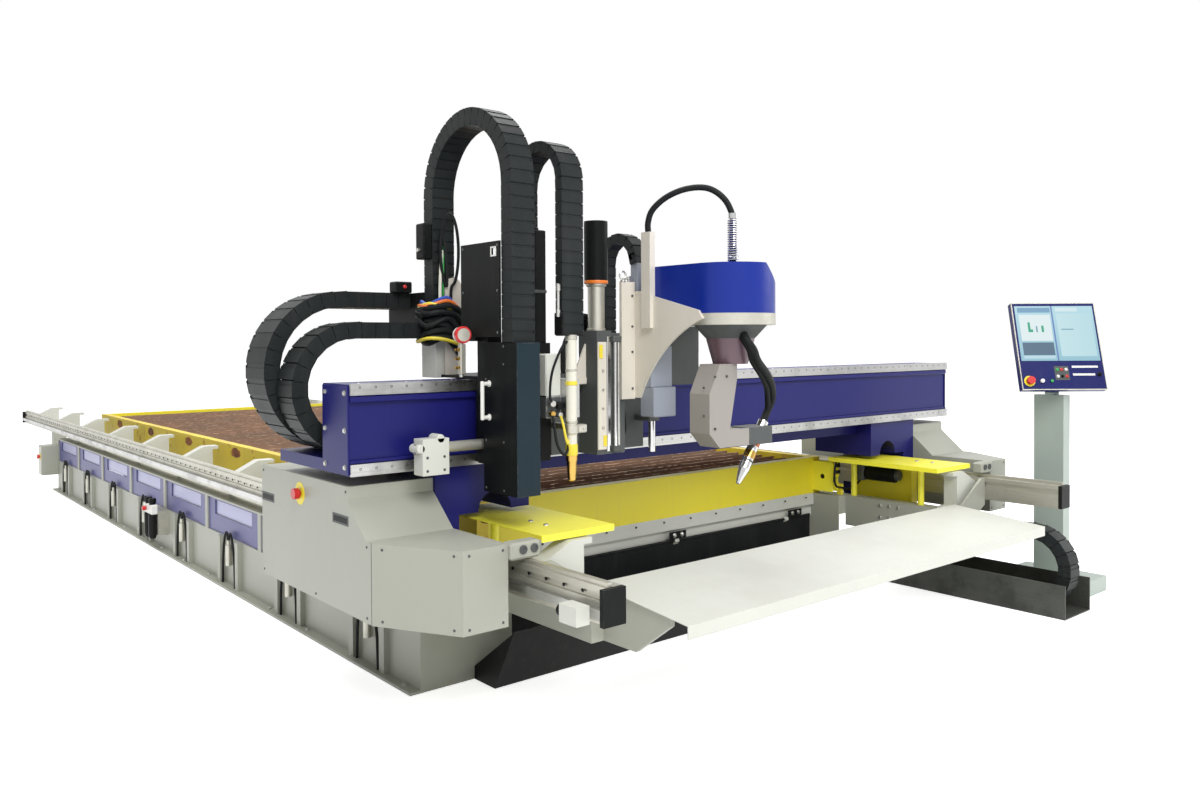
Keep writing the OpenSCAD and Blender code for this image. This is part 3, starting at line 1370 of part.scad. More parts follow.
// Panel case on its swivelling neck, with bores for its controls
module console_panel() color(head_blue) {
    neck_z0 = post_top_z + swivel_h + slide_gap;
    difference() {
        on_panel() translate([-panel_w / 2, -panel_h / 2, -panel_t]) cube([panel_w, panel_h, panel_t]);
        on_panel() translate([estop_x, control_y, -bore_depth])
            cylinder(h = bore_depth + over, r = estop_stem_r + estop_bore_gap);
        for (x = [knob_x, start_x]) on_panel() translate([x, control_y, -bore_depth])
            cylinder(h = bore_depth + over, r = control_stem_r + estop_bore_gap);
    }
    intersection() {
        rod_z(post_x, post_y, neck_z0, neck_z0 + neck_h + panel_h / 2, swivel_r);
        on_panel() translate([-panel_w / 2, -panel_h / 2, -panel_t - panel_h])
            cube([panel_w, panel_h + neck_h, panel_h]);
    }
    rod_z(post_x, post_y, neck_z0, neck_z0 + neck_h / 2, swivel_r);
}

module console_screen() color([0.76, 0.89, 0.92]) on_panel()
    translate([-screen_w / 2, screen_y - screen_h / 2, 0]) cube([screen_w, screen_h, screen_t]);

module console_estop() color(red) on_panel() translate([estop_x, control_y, 0])
    mushroom(estop_lift, estop_r, estop_h, estop_stem_r, estop_stem_l);

module console_knob() color(pale_grey) on_panel() translate([knob_x, control_y, 0])
    mushroom(slide_gap, knob_r, knob_h, control_stem_r, control_stem_l);

module console_start() color([0.15, 0.55, 0.25]) on_panel() translate([start_x, control_y, 0])
    mushroom(start_lift, start_r, start_h, control_stem_r, control_stem_l);

plenum_wall();
damper_band();
leg_frames();
table_sides();
table_ends();
slats();
front_crossbeam();
travel_rails();
gear_racks();
rail_brackets();
rail_ends();
outriggers();
deck_plates();
apron();
slag_hopper();
floor_channel();
floor_chain_base();
console_stand();
air_cylinders();
air_hoses();
curtain_flap();
dampers_front();
dampers_rear();
slag_scoop();
scoop_sprocket();
console_panel();
console_screen();
console_estop();
console_knob();
console_start();
gantry_beam();
guide_strips();
chain_tray();
gantry_legs();
cover_left();
cover_right();
drive_units();
pinion_left();
pinion_right();
gantry_estop();
tray_chain_base();
tray_chain_tops();
tray_chain_bends();
floor_chain_top();
floor_chain_bend();
torch_carriage();
plasma_cover();
plasma_torch();
plasma_chain();
oxy_torch();
oxy_chain();
bevel_carriage();
bevel_bracket();
bevel_housing();
bevel_chain();
bevel_arm();
bevel_torch();
bevel_hose();
spring_guard();
torch_hose();
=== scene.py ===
import math
import random

import bpy
from mathutils import Matrix, Vector


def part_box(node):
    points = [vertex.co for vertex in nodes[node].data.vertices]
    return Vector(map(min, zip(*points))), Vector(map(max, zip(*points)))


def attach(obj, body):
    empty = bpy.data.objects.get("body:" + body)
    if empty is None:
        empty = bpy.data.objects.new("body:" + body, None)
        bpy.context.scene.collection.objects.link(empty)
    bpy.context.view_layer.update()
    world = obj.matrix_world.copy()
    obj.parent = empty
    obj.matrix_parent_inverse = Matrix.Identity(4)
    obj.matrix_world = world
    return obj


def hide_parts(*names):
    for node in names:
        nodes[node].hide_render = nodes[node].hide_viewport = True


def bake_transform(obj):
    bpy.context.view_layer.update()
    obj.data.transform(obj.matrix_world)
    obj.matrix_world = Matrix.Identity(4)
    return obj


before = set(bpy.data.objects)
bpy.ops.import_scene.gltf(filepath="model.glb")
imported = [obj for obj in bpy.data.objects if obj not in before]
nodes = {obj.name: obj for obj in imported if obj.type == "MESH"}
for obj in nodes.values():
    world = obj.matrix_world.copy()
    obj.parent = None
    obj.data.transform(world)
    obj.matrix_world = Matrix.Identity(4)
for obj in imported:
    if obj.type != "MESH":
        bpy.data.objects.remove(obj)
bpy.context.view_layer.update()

scene = bpy.context.scene
MM = 0.001
UP, FRONT, LEFT, RIGHT = (0, 0, 1), (0, -1, 0), (-1, 0, 0), (1, 0, 0)
SIDES = ((-1, "left"), (1, "right"))


def box_of(node):
    """The two corners of a node's box, in millimetres."""
    return [Vector(c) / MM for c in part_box(node)]


# Camera at the photograph's place and angle

def photo_camera():
    """The lens, place and tilt that line the frame up with the photograph."""
    focal, width, height, centre_row = 951.2251, 1200.0, 800.0, 355.2141
    place = (-3.5855, -7.36, 1.4526)
    yaw, pitch, roll = (math.radians(a) for a in (40.0784, 0.9499, -0.2559))
    ahead = Vector((math.sin(yaw) * math.cos(pitch), math.cos(yaw) * math.cos(pitch), -math.sin(pitch)))
    level = Vector((math.cos(yaw), -math.sin(yaw), 0.0))
    right = level * math.cos(roll) + level.cross(ahead) * math.sin(roll)
    up = right.cross(ahead)
    data = bpy.data.cameras.new("photo_camera")
    data.sensor_fit = "HORIZONTAL"
    data.sensor_width = 36.0
    data.lens = focal / width * data.sensor_width
    data.shift_y = -(height / 2 - centre_row) / width
    data.clip_end = 200.0
    camera = bpy.data.objects.new("photo_camera", data)
    turn = Matrix((right, up, -ahead)).transposed().to_4x4()
    camera.matrix_world = Matrix.Translation(place) @ turn
    scene.collection.objects.link(camera)
    scene.camera = camera


photo_camera()


# Small helpers for node trees

def tone(r, g, b):
    """A colour given in screen values from 0 to 255."""
    part = [c / 255 for c in (r, g, b)]
    return tuple(c / 12.92 if c <= 0.04045 else ((c + 0.055) / 1.055) ** 2.4 for c in part) + (1.0,)


def feed(tree, node, **sockets):
    """Sets or links a node's sockets, named in full with _ for a space, or numbered as _0, _1."""
    for key, value in sockets.items():
        spot = node.inputs[int(key[1:])] if key[0] == "_" else node.inputs[key.replace("_", " ")]
        if isinstance(value, bpy.types.NodeSocket):
            tree.links.new(value, spot)
        else:
            spot.default_value = value


def put(tree, kind, props=None, **sockets):
    """A node with its properties and its sockets."""
    made = tree.nodes.new(kind)
    for key, value in (props or {}).items():
        setattr(made, key, value)
    feed(tree, made, **sockets)
    return made


def blend_colour(tree, share, low, high):
    return put(tree, "ShaderNodeMix", {"data_type": "RGBA"}, _0=share, _6=low, _7=high).outputs[2]


def maths(tree, way, a, b, clamp=False):
    return put(tree, "ShaderNodeMath", {"operation": way, "use_clamp": clamp}, _0=a, _1=b).outputs[0]


def plus(tree, a, b, clamp=False):
    return maths(tree, "ADD", a, b, clamp)


def minus(tree, a, b):
    return maths(tree, "SUBTRACT", a, b)


def times(tree, a, b, clamp=False):
    return maths(tree, "MULTIPLY", a, b, clamp)


def larger(tree, a, b):
    return maths(tree, "MAXIMUM", a, b)


def own_place(tree):
    """Where a point lies in its own piece."""
    return put(tree, "ShaderNodeTexCoord").outputs["Object"]


def span(tree, value, low, high, to_low=0.0, to_high=1.0):
    return put(tree, "ShaderNodeMapRange", {"interpolation_type": "SMOOTHSTEP"}, _0=value, _1=low, _2=high,
               _3=to_low, _4=to_high).outputs[0]


def noise(tree, vector, scale, detail=3.0, rough=0.55):
    return put(tree, "ShaderNodeTexNoise", None, Vector=vector, Scale=scale, Detail=detail,
               Roughness=rough).outputs[0]


def stretched(tree, vector, scale):
    return put(tree, "ShaderNodeVectorMath", {"operation": "MULTIPLY"}, _0=vector, _1=scale).outputs[0]


def shader_group(name, takes, gives):
    """An empty shader group: inputs are (name, kind, value), outputs (name, kind)."""
    tree = bpy.data.node_groups.new(name, "ShaderNodeTree")
    for label, kind, value in takes:
        spot = tree.interface.new_socket(name=label, in_out="INPUT", socket_type="NodeSocket" + kind)
        spot.default_value = value
    for label, kind in gives:
        tree.interface.new_socket(name=label, in_out="OUTPUT", socket_type="NodeSocket" + kind)
    start, end = tree.nodes.new("NodeGroupInput"), tree.nodes.new("NodeGroupOutput")
    return tree, start.outputs, end


GREY = (0.5, 0.5, 0.5, 1.0)


def dust_group():
    """Where dust settles: on upward faces, in clouds and in runs down the sides."""
    tree, take, give = shader_group("Dust", [("Amount", "Float", 0.3), ("Cloud Scale", "Float", 2.5)],
                                    [("Mask", "Float")])
    at = own_place(tree)
    face = put(tree, "ShaderNodeNewGeometry").outputs["Normal"]
    up = put(tree, "ShaderNodeSeparateXYZ", None, Vector=face).outputs["Z"]
    clouds = span(tree, noise(tree, at, take["Cloud Scale"], 5.0, 0.6), 0.38, 0.68)
    runs = span(tree, noise(tree, stretched(tree, at, (7.0, 7.0, 0.6)), 3.0, 4.0, 0.65), 0.48, 0.75)
    lying = times(tree, span(tree, up, 0.2, 0.9, 0.25, 1.0), clouds)
    both = plus(tree, lying, times(tree, runs, 0.35), True)
    feed(tree, give, Mask=times(tree, both, take["Amount"], True))
    return tree


def edge_group():
    """Where corners are rubbed through, broken up by a fine noise."""
    tree, take, give = shader_group("Edge Wear", [("Reach", "Float", 0.004), ("Amount", "Float", 0.5)],
                                    [("Mask", "Float")])
    at = own_place(tree)
    face = put(tree, "ShaderNodeNewGeometry").outputs["Normal"]
    soft = put(tree, "ShaderNodeBevel", {"samples": 4}, Radius=take["Reach"]).outputs[0]
    same = put(tree, "ShaderNodeVectorMath", {"operation": "DOT_PRODUCT"}, _0=soft, _1=face).outputs["Value"]
    edge = span(tree, same, 0.985, 0.86)
    chips = span(tree, noise(tree, at, 38.0, 4.0, 0.7), 0.46, 0.62)
    both = times(tree, edge, chips)
    feed(tree, give, Mask=times(tree, both, take["Amount"], True))
    return tree


def mottle_group():
    """Slow changes of shade over a coat, and the fine skin of a sprayed or moulded surface."""
    tree, take, give = shader_group(
        "Mottle", [("Base", "Color", GREY), ("Spread", "Float", 0.12), ("Scale", "Float", 1.6),
                   ("Skin Scale", "Float", 260.0)],
        [("Color", "Color"), ("Rough Shift", "Float"), ("Height", "Float")])
    at = own_place(tree)
    slow = noise(tree, at, take["Scale"], 4.0, 0.55)
    shift = times(tree, minus(tree, slow, 0.5), take["Spread"])
    value = plus(tree, shift, 1.0)
    shaded = put(tree, "ShaderNodeHueSaturation", None, Color=take["Base"], Value=value)
    feed(tree, give, Color=shaded.outputs[0])
    feed(tree, give, Rough_Shift=times(tree, shift, 1.2))
    feed(tree, give, Height=noise(tree, at, take["Skin Scale"], 2.0))
    return tree


def brush_group():
    """Fine lines of drawn, ground or brushed metal, with a slow stain."""
    tree, take, give = shader_group(
        "Brushed", [("Light", "Color", GREY), ("Dark", "Color", GREY), ("Stretch", "Vector", (1.0, 60.0, 60.0)),
                    ("Stain", "Float", 0.4)],
        [("Color", "Color"), ("Shift", "Float"), ("Height", "Float")])
    at = own_place(tree)
    drawn = put(tree, "ShaderNodeMapping", None, Vector=at, Scale=take["Stretch"]).outputs[0]
    lines = noise(tree, drawn, 4.0, 5.0)
    stain = times(tree, span(tree, noise(tree, at, 5.0, 5.0, 0.65), 0.45, 0.7), take["Stain"])
    share = plus(tree, times(tree, lines, 0.5), stain, True)
    feed(tree, give, Color=blend_colour(tree, share, take["Light"], take["Dark"]))
    feed(tree, give, Shift=minus(tree, share, 0.4))
    feed(tree, give, Height=lines)
    return tree


def rust_group():
    """Burnt, rusted plate: brown scale, orange bloom, dark soot and slag crumbs."""
    tree, take, give = shader_group(
        "Rust", [("Scale", "Float", 6.0), ("Soot", "Float", 0.5)],
        [("Color", "Color"), ("Rough", "Float"), ("Height", "Float"), ("Amount", "Float")])
    at = own_place(tree)
    broad = noise(tree, at, take["Scale"], 6.0, 0.65)
    ramp = put(tree, "ShaderNodeValToRGB", None, Fac=broad)
    marks = [(0.30, tone(58, 34, 24)), (0.45, tone(112, 64, 36)), (0.56, tone(150, 88, 46)),
             (0.70, tone(176, 118, 72))]
    while len(ramp.color_ramp.elements) < len(marks):
        ramp.color_ramp.elements.new(0.5)
    for stop, (place, colour) in zip(ramp.color_ramp.elements, marks):
        stop.position, stop.color = place, colour
    fine = noise(tree, at, 90.0, 4.0, 0.7)
    grit = blend_colour(tree, times(tree, span(tree, fine, 0.5, 0.7), 0.5), ramp.outputs[0],
                        tone(44, 28, 24))
    soot = span(tree, noise(tree, at, 2.3, 5.0, 0.6), 0.50, 0.66)
    dark = blend_colour(tree, times(tree, soot, take["Soot"], True), grit, tone(30, 25, 25))
    feed(tree, give, Color=dark)
    feed(tree, give, Rough=span(tree, fine, 0.3, 0.7, 0.62, 0.92))
    feed(tree, give, Height=plus(tree, times(tree, broad, 0.6), fine))
    feed(tree, give, Amount=broad)
    return tree


DUST, EDGE, MOTTLE, BRUSHED, RUST = dust_group(), edge_group(), mottle_group(), brush_group(), rust_group()


# Finishes

def new_finish(name):
    made = bpy.data.materials.new(name)
    made.use_nodes = True
    tree = made.node_tree
    return made, tree, tree.nodes["Principled BSDF"]


def use(tree, group, **values):
    return put(tree, "ShaderNodeGroup", {"node_tree": group}, **values).outputs


def bump(tree, shader, height, depth, strength=1.0):
    made = put(tree, "ShaderNodeBump", None, Height=height, Distance=depth, Strength=strength)
    feed(tree, shader, Normal=made.outputs[0])


def coated(name, colour, rough, spread, scale, skin, skin_scale, dust, cloud, dust_tone, dust_rough, wear,
           reach, bare, sheen):
    """A coat with slow mottling and a fine skin, dusty, and rubbed through along its edges."""
    made, tree, shader = new_finish(name)
    body = use(tree, MOTTLE, Base=tone(*colour), Spread=spread, Scale=scale, Skin_Scale=skin_scale)
    dusty = use(tree, DUST, Amount=dust, Cloud_Scale=cloud)["Mask"]
    worn = use(tree, EDGE, Amount=wear, Reach=reach)["Mask"]
    shade = blend_colour(tree, dusty, body["Color"], tone(*dust_tone))
    level = plus(tree, plus(tree, body["Rough Shift"], rough), times(tree, dusty, dust_rough), True)
    feed(tree, shader, Base_Color=blend_colour(tree, worn, shade, tone(*bare)), Roughness=level,
         Specular_IOR_Level=sheen)
    bump(tree, shader, body["Height"], skin)
    return made


def painted(name, colour, rough, dust, wear, bare=(150, 148, 142), dust_tone=(150, 143, 130), sheen=0.5):
    """Sprayed paint over steel."""
    return coated(name, colour, rough, spread=0.12, scale=1.6, skin=0.00025, skin_scale=260.0, dust=dust,
                  cloud=2.5, dust_tone=dust_tone, dust_rough=0.4, wear=wear, reach=0.004, bare=bare, sheen=sheen)


def metal(name, light, dark, rough, stretch, stain=0.35, metallic=1.0):
    """Bare drawn or ground metal with stains."""
    made, tree, shader = new_finish(name)
    lines = use(tree, BRUSHED, Light=tone(*light), Dark=tone(*dark), Stretch=stretch, Stain=stain)
    feed(tree, shader, Base_Color=lines["Color"])
    feed(tree, shader, Roughness=plus(tree, times(tree, lines["Shift"], 0.35), rough, True))
    bump(tree, shader, lines["Height"], 0.0002, 0.5)
    feed(tree, shader, Metallic=metallic)
    return made


def moulded(name, colour, rough, spread, dust, skin=0.00015, skin_scale=700.0, bare=(96, 98, 98), sheen=0.5):
    """Moulded plastic or rubber with a fine grain."""
    return coated(name, colour, rough, spread=spread, scale=5.0, skin=skin, skin_scale=skin_scale, dust=dust,
                  cloud=6.0, dust_tone=(140, 138, 132), dust_rough=0.0, wear=0.25, reach=0.002, bare=bare,
                  sheen=sheen)


def rusty(name, scale=6.0, soot=0.5, depth=0.0015, fade=0.0, faded=(128, 104, 96)):
    """Rusted plate, faded towards one dusty shade."""
    made, tree, shader = new_finish(name)
    scab = use(tree, RUST, Scale=scale, Soot=soot)
    feed(tree, shader, Base_Color=blend_colour(tree, fade, scab["Color"], tone(*faded)))
    feed(tree, shader, Roughness=scab["Rough"])
    bump(tree, shader, scab["Height"], depth)
    return made


def burnt_edge_paint(name, colour):
    """Yellow paint scorched and rusted through in patches near the cutting area."""
    made, tree, shader = new_finish(name)
    coatwork = use(tree, MOTTLE, Base=tone(*colour), Spread=0.18)
    scab = use(tree, RUST, Scale=9.0, Soot=0.4)
    dusty = use(tree, DUST, Amount=0.35)["Mask"]
    worn = use(tree, EDGE, Amount=0.8, Reach=0.006)["Mask"]
    patches = span(tree, scab["Amount"], 0.60, 0.68)
    shade = blend_colour(tree, dusty, coatwork["Color"], tone(132, 110, 74))
    holes = larger(tree, times(tree, patches, 0.75), worn)
    feed(tree, shader, Base_Color=blend_colour(tree, holes, shade, scab["Color"]))
    feed(tree, shader, Roughness=plus(tree, times(tree, holes, 0.35), 0.45, True))
    bump(tree, shader, plus(tree, coatwork["Height"], times(tree, holes, -0.6)), 0.0004)
    return made


def lit_screen(name):
    """A pale display: menu bar, job pane with three cut shapes, list pane, divider and one wide right pane."""
    made, tree, shader = new_finish(name)
    cut = put(tree, "ShaderNodeSeparateXYZ", None, Vector=put(tree, "ShaderNodeUVMap").outputs[0])
    u, v = cut.outputs["X"], cut.outputs["Y"]

    def pane(*edges):
        inside = 1.0
        for value, low, high in ((u, *edges[:2]), (v, *edges[2:])):
            over, under = maths(tree, "GREATER_THAN", value, low), maths(tree, "LESS_THAN", value, high)
            inside = times(tree, times(tree, over, under), inside)
        return inside

    cut_shape = tone(44, 168, 128)
    wide = blend_colour(tree, u, tone(206, 234, 238), tone(186, 222, 230))
    shade = blend_colour(tree, v, tone(150, 196, 212), tone(186, 224, 234))
    for edges, colour in (
            ((0.03, 0.45, 0.88, 0.97), tone(120, 164, 196)), ((0.04, 0.44, 0.36, 0.84), tone(226, 240, 242)),
            ((0.04, 0.44, 0.10, 0.33), tone(84, 112, 134)), ((0.04, 0.44, 0.04, 0.09), tone(190, 220, 232)),
            ((0.46, 0.48, 0.00, 1.00), tone(104, 134, 190)), ((0.52, 0.80, 0.90, 0.97), tone(214, 236, 240)),
            ((0.52, 0.97, 0.08, 0.86), wide), ((0.14, 0.17, 0.52, 0.70), cut_shape),
            ((0.14, 0.20, 0.52, 0.57), cut_shape), ((0.24, 0.26, 0.52, 0.63), tone(110, 160, 176)),
            ((0.31, 0.34, 0.52, 0.64), cut_shape), ((0.56, 0.72, 0.56, 0.58), tone(120, 168, 186))):
        shade = blend_colour(tree, pane(*edges), shade, colour)
    feed(tree, shader, Emission_Color=shade, Base_Color=tone(24, 28, 32), Emission_Strength=0.92, Roughness=0.2)
    return made


FINISH = {
    "grey": painted("grey_paint", (160, 162, 150), 0.40, 0.16, 0.3),
    "pale": painted("pale_paint", (204, 205, 196), 0.38, 0.12, 0.25),
    "grey_green": painted("post_paint", (160, 172, 164), 0.38, 0.14, 0.25),
    "beige": painted("beige_paint", (214, 208, 196), 0.38, 0.10, 0.25),
    "arm": painted("arm_paint", (148, 143, 137), 0.38, 0.10, 0.25),
    # A lighter copy of the table's yellow for the deck plates: painted light, standing in for the lamp light on
    # their tops.
    "deck": painted("deck_painted_light_yellow", (254, 246, 66), 0.34, 0.06, 0.3, bare=(150, 128, 70)),
    "slate": painted("slate_paint", (142, 148, 160), 0.36, 0.08, 0.2),
    "dark_grey": painted("dark_grey_paint", (78, 82, 82), 0.45, 0.14, 0.4, sheen=0.2),
    "yellow": painted("yellow_paint", (238, 222, 44), 0.40, 0.16, 0.5, bare=(120, 96, 60)),
    "yellow_burnt": burnt_edge_paint("burnt_yellow_paint", (226, 200, 40)),
    "beam": painted("beam_paint", (24, 25, 98), 0.36, 0.05, 0.2, bare=(80, 82, 120), sheen=0.2,
                    dust_tone=(90, 92, 120)),
    "head": painted("head_paint", (16, 40, 134), 0.30, 0.03, 0.2, bare=(80, 96, 150), sheen=0.3,
                    dust_tone=(80, 92, 130)),
    "band": painted("band_paint", (82, 83, 136), 0.42, 0.22, 0.3, bare=(130, 130, 150)),
    "cream": painted("cream_paint", (214, 212, 198), 0.36, 0.08, 0.2),
    "console": painted("console_paint", (17, 24, 88), 0.36, 0.06, 0.3, sheen=0.2),
    "teal": painted("teal_panel", (27, 42, 50), 0.36, 0.05, 0.3, sheen=0.12),
    "black": painted("black_paint", (17, 19, 19), 0.44, 0.06, 0.4, bare=(84, 84, 84), sheen=0.1),
    "steel": metal("machined_steel", (196, 196, 194), (120, 120, 120), 0.34, (1.0, 60.0, 60.0)),
    "steel_y": metal("rail_steel", (196, 196, 194), (124, 124, 124), 0.34, (60.0, 1.0, 60.0)),
    "chrome": metal("bright_steel", (222, 222, 222), (168, 168, 170), 0.16, (40.0, 40.0, 1.0), 0.2),
    "zinc": metal("zinc_plate", (206, 206, 202), (150, 148, 142), 0.38, (20.0, 20.0, 20.0), 0.5),
    "alloy": metal("rail_alloy", (200, 198, 186), (146, 144, 134), 0.46, (60.0, 1.0, 60.0), 0.25, 0.75),
    "brass": metal("brass", (206, 168, 92), (140, 104, 50), 0.28, (40.0, 40.0, 1.0), 0.3),
    "channel": metal("channel_steel", (80, 82, 76), (47, 49, 45), 0.5, (60.0, 1.0, 60.0), 0.5, 0.3),
    "copper": metal("copper", (196, 120, 84), (120, 66, 44), 0.3, (30.0, 30.0, 2.0), 0.4),
    "chain": moulded("chain_plastic", (31, 35, 35), 0.46, 0.2, 0.07, bare=(74, 78, 78), sheen=0.14),
    "plastic": moulded("cover_plastic", (17, 20, 20), 0.36, 0.14, 0.04, bare=(50, 52, 54), sheen=0.08),
    "white_plastic": moulded("white_plastic", (226, 226, 220), 0.38, 0.06, 0.10, bare=(236, 236, 232)),
    "cone": moulded("cone_plastic", (98, 74, 84), 0.30, 0.2, 0.08, bare=(140, 116, 124)),
    "rubber": moulded("hose_rubber", (24, 26, 27), 0.5, 0.16, 0.07, 0.0003, 420.0, sheen=0.12),
    "red": moulded("red_button", (196, 34, 34), 0.30, 0.08, 0.05, bare=(214, 80, 76)),
    "green": moulded("green_button", (46, 158, 72), 0.30, 0.08, 0.05, bare=(110, 190, 120)),
    "orange": moulded("orange_band", (226, 120, 36), 0.36, 0.08, 0.06, bare=(230, 150, 90)),
    "cable_blue": moulded("blue_cable", (40, 74, 176), 0.44, 0.1, 0.08, bare=(90, 116, 190)),
    "cable_orange": moulded("orange_cable", (218, 112, 40), 0.44, 0.1, 0.08, bare=(226, 150, 96)),
    "cable_yellow": moulded("yellow_cable", (226, 206, 60), 0.44, 0.1, 0.08, bare=(230, 216, 120)),
    "sheet": painted("damper_sheet", (176, 178, 214), 0.36, 0.14, 0.25, bare=(210, 210, 222)),
    "rust": rusty("rusty_plate", 1.6, 0.5, 0.0005, 0.7, (150, 127, 108)),
    "rust_dark": rusty("burnt_scale", 9.0, 0.85),
    "screen": lit_screen("screen_glass"),
}

NODES_WITH = {
    "grey": "plenum_wall leg_frames outriggers cover_left cover_right",
    "band": "damper_band",
    "yellow_burnt": "table_sides",
    "yellow": "table_ends",
    "rust": "slats",
    "pale": "front_crossbeam rail_brackets apron",
    "alloy": "travel_rails air_cylinders",
    "steel_y": "gear_racks",
    "black": "rail_ends slag_hopper scoop_sprocket torch_carriage",
    # The deck plates take the lighter yellow, with painted light.
    "deck": "deck_plates",
    "channel": "floor_channel",
    "chain": "floor_chain_base tray_chain_base floor_chain_top floor_chain_bend tray_chain_tops "
             "plasma_chain oxy_chain tray_chain_bends bevel_chain",
    "grey_green": "console_stand",
    "rubber": "air_hoses curtain_flap bevel_hose torch_hose",
    "sheet": "dampers_front dampers_rear",
    "rust_dark": "slag_scoop",
    "console": "console_panel",
    "screen": "console_screen",
    "red": "console_estop gantry_estop",
    "white_plastic": "console_knob",
    "green": "console_start",
    "beam": "gantry_beam chain_tray gantry_legs",
    "steel": "guide_strips pinion_left pinion_right oxy_torch",
    "dark_grey": "drive_units bevel_carriage",
    "plastic": "plasma_cover",
    "brass": "plasma_torch",
    "beige": "bevel_bracket",
    "head": "bevel_housing",
    "chrome": "spring_guard bevel_torch",
    "arm": "bevel_arm",
}


for finish_name, node_names in NODES_WITH.items():
    for node_name in node_names.split():
        coats = nodes[node_name].data.materials
        coats.clear()
        coats.append(FINISH[finish_name])


# Making pieces, in millimetres of the part's own frame

def arc(centre, across, over, radius, sweep, steps):
    """Points from one direction round towards another, with both ends."""
    centre, across, over = Vector(centre), Vector(across), Vector(over)
    turns = [sweep * k / steps for k in range(steps + 1)]
    return [centre + (across * math.cos(t) + over * math.sin(t)) * radius for t in turns]


def skin(rings):
    """Faces from each ring of point numbers to the next; a ring of one point is a tip."""
    faces = []
    for one, two in zip(rings, rings[1:]):
        count = max(len(one), len(two))
        for k in range(count):
            m = (k + 1) % count
            if len(one) == 1:
                faces.append([one[0], two[m], two[k]])
            elif len(two) == 1:
                faces.append([one[k], one[m], two[0]])
            else:
                faces.append([one[k], one[m], two[m], two[k]])
    return faces


SHARP = 32


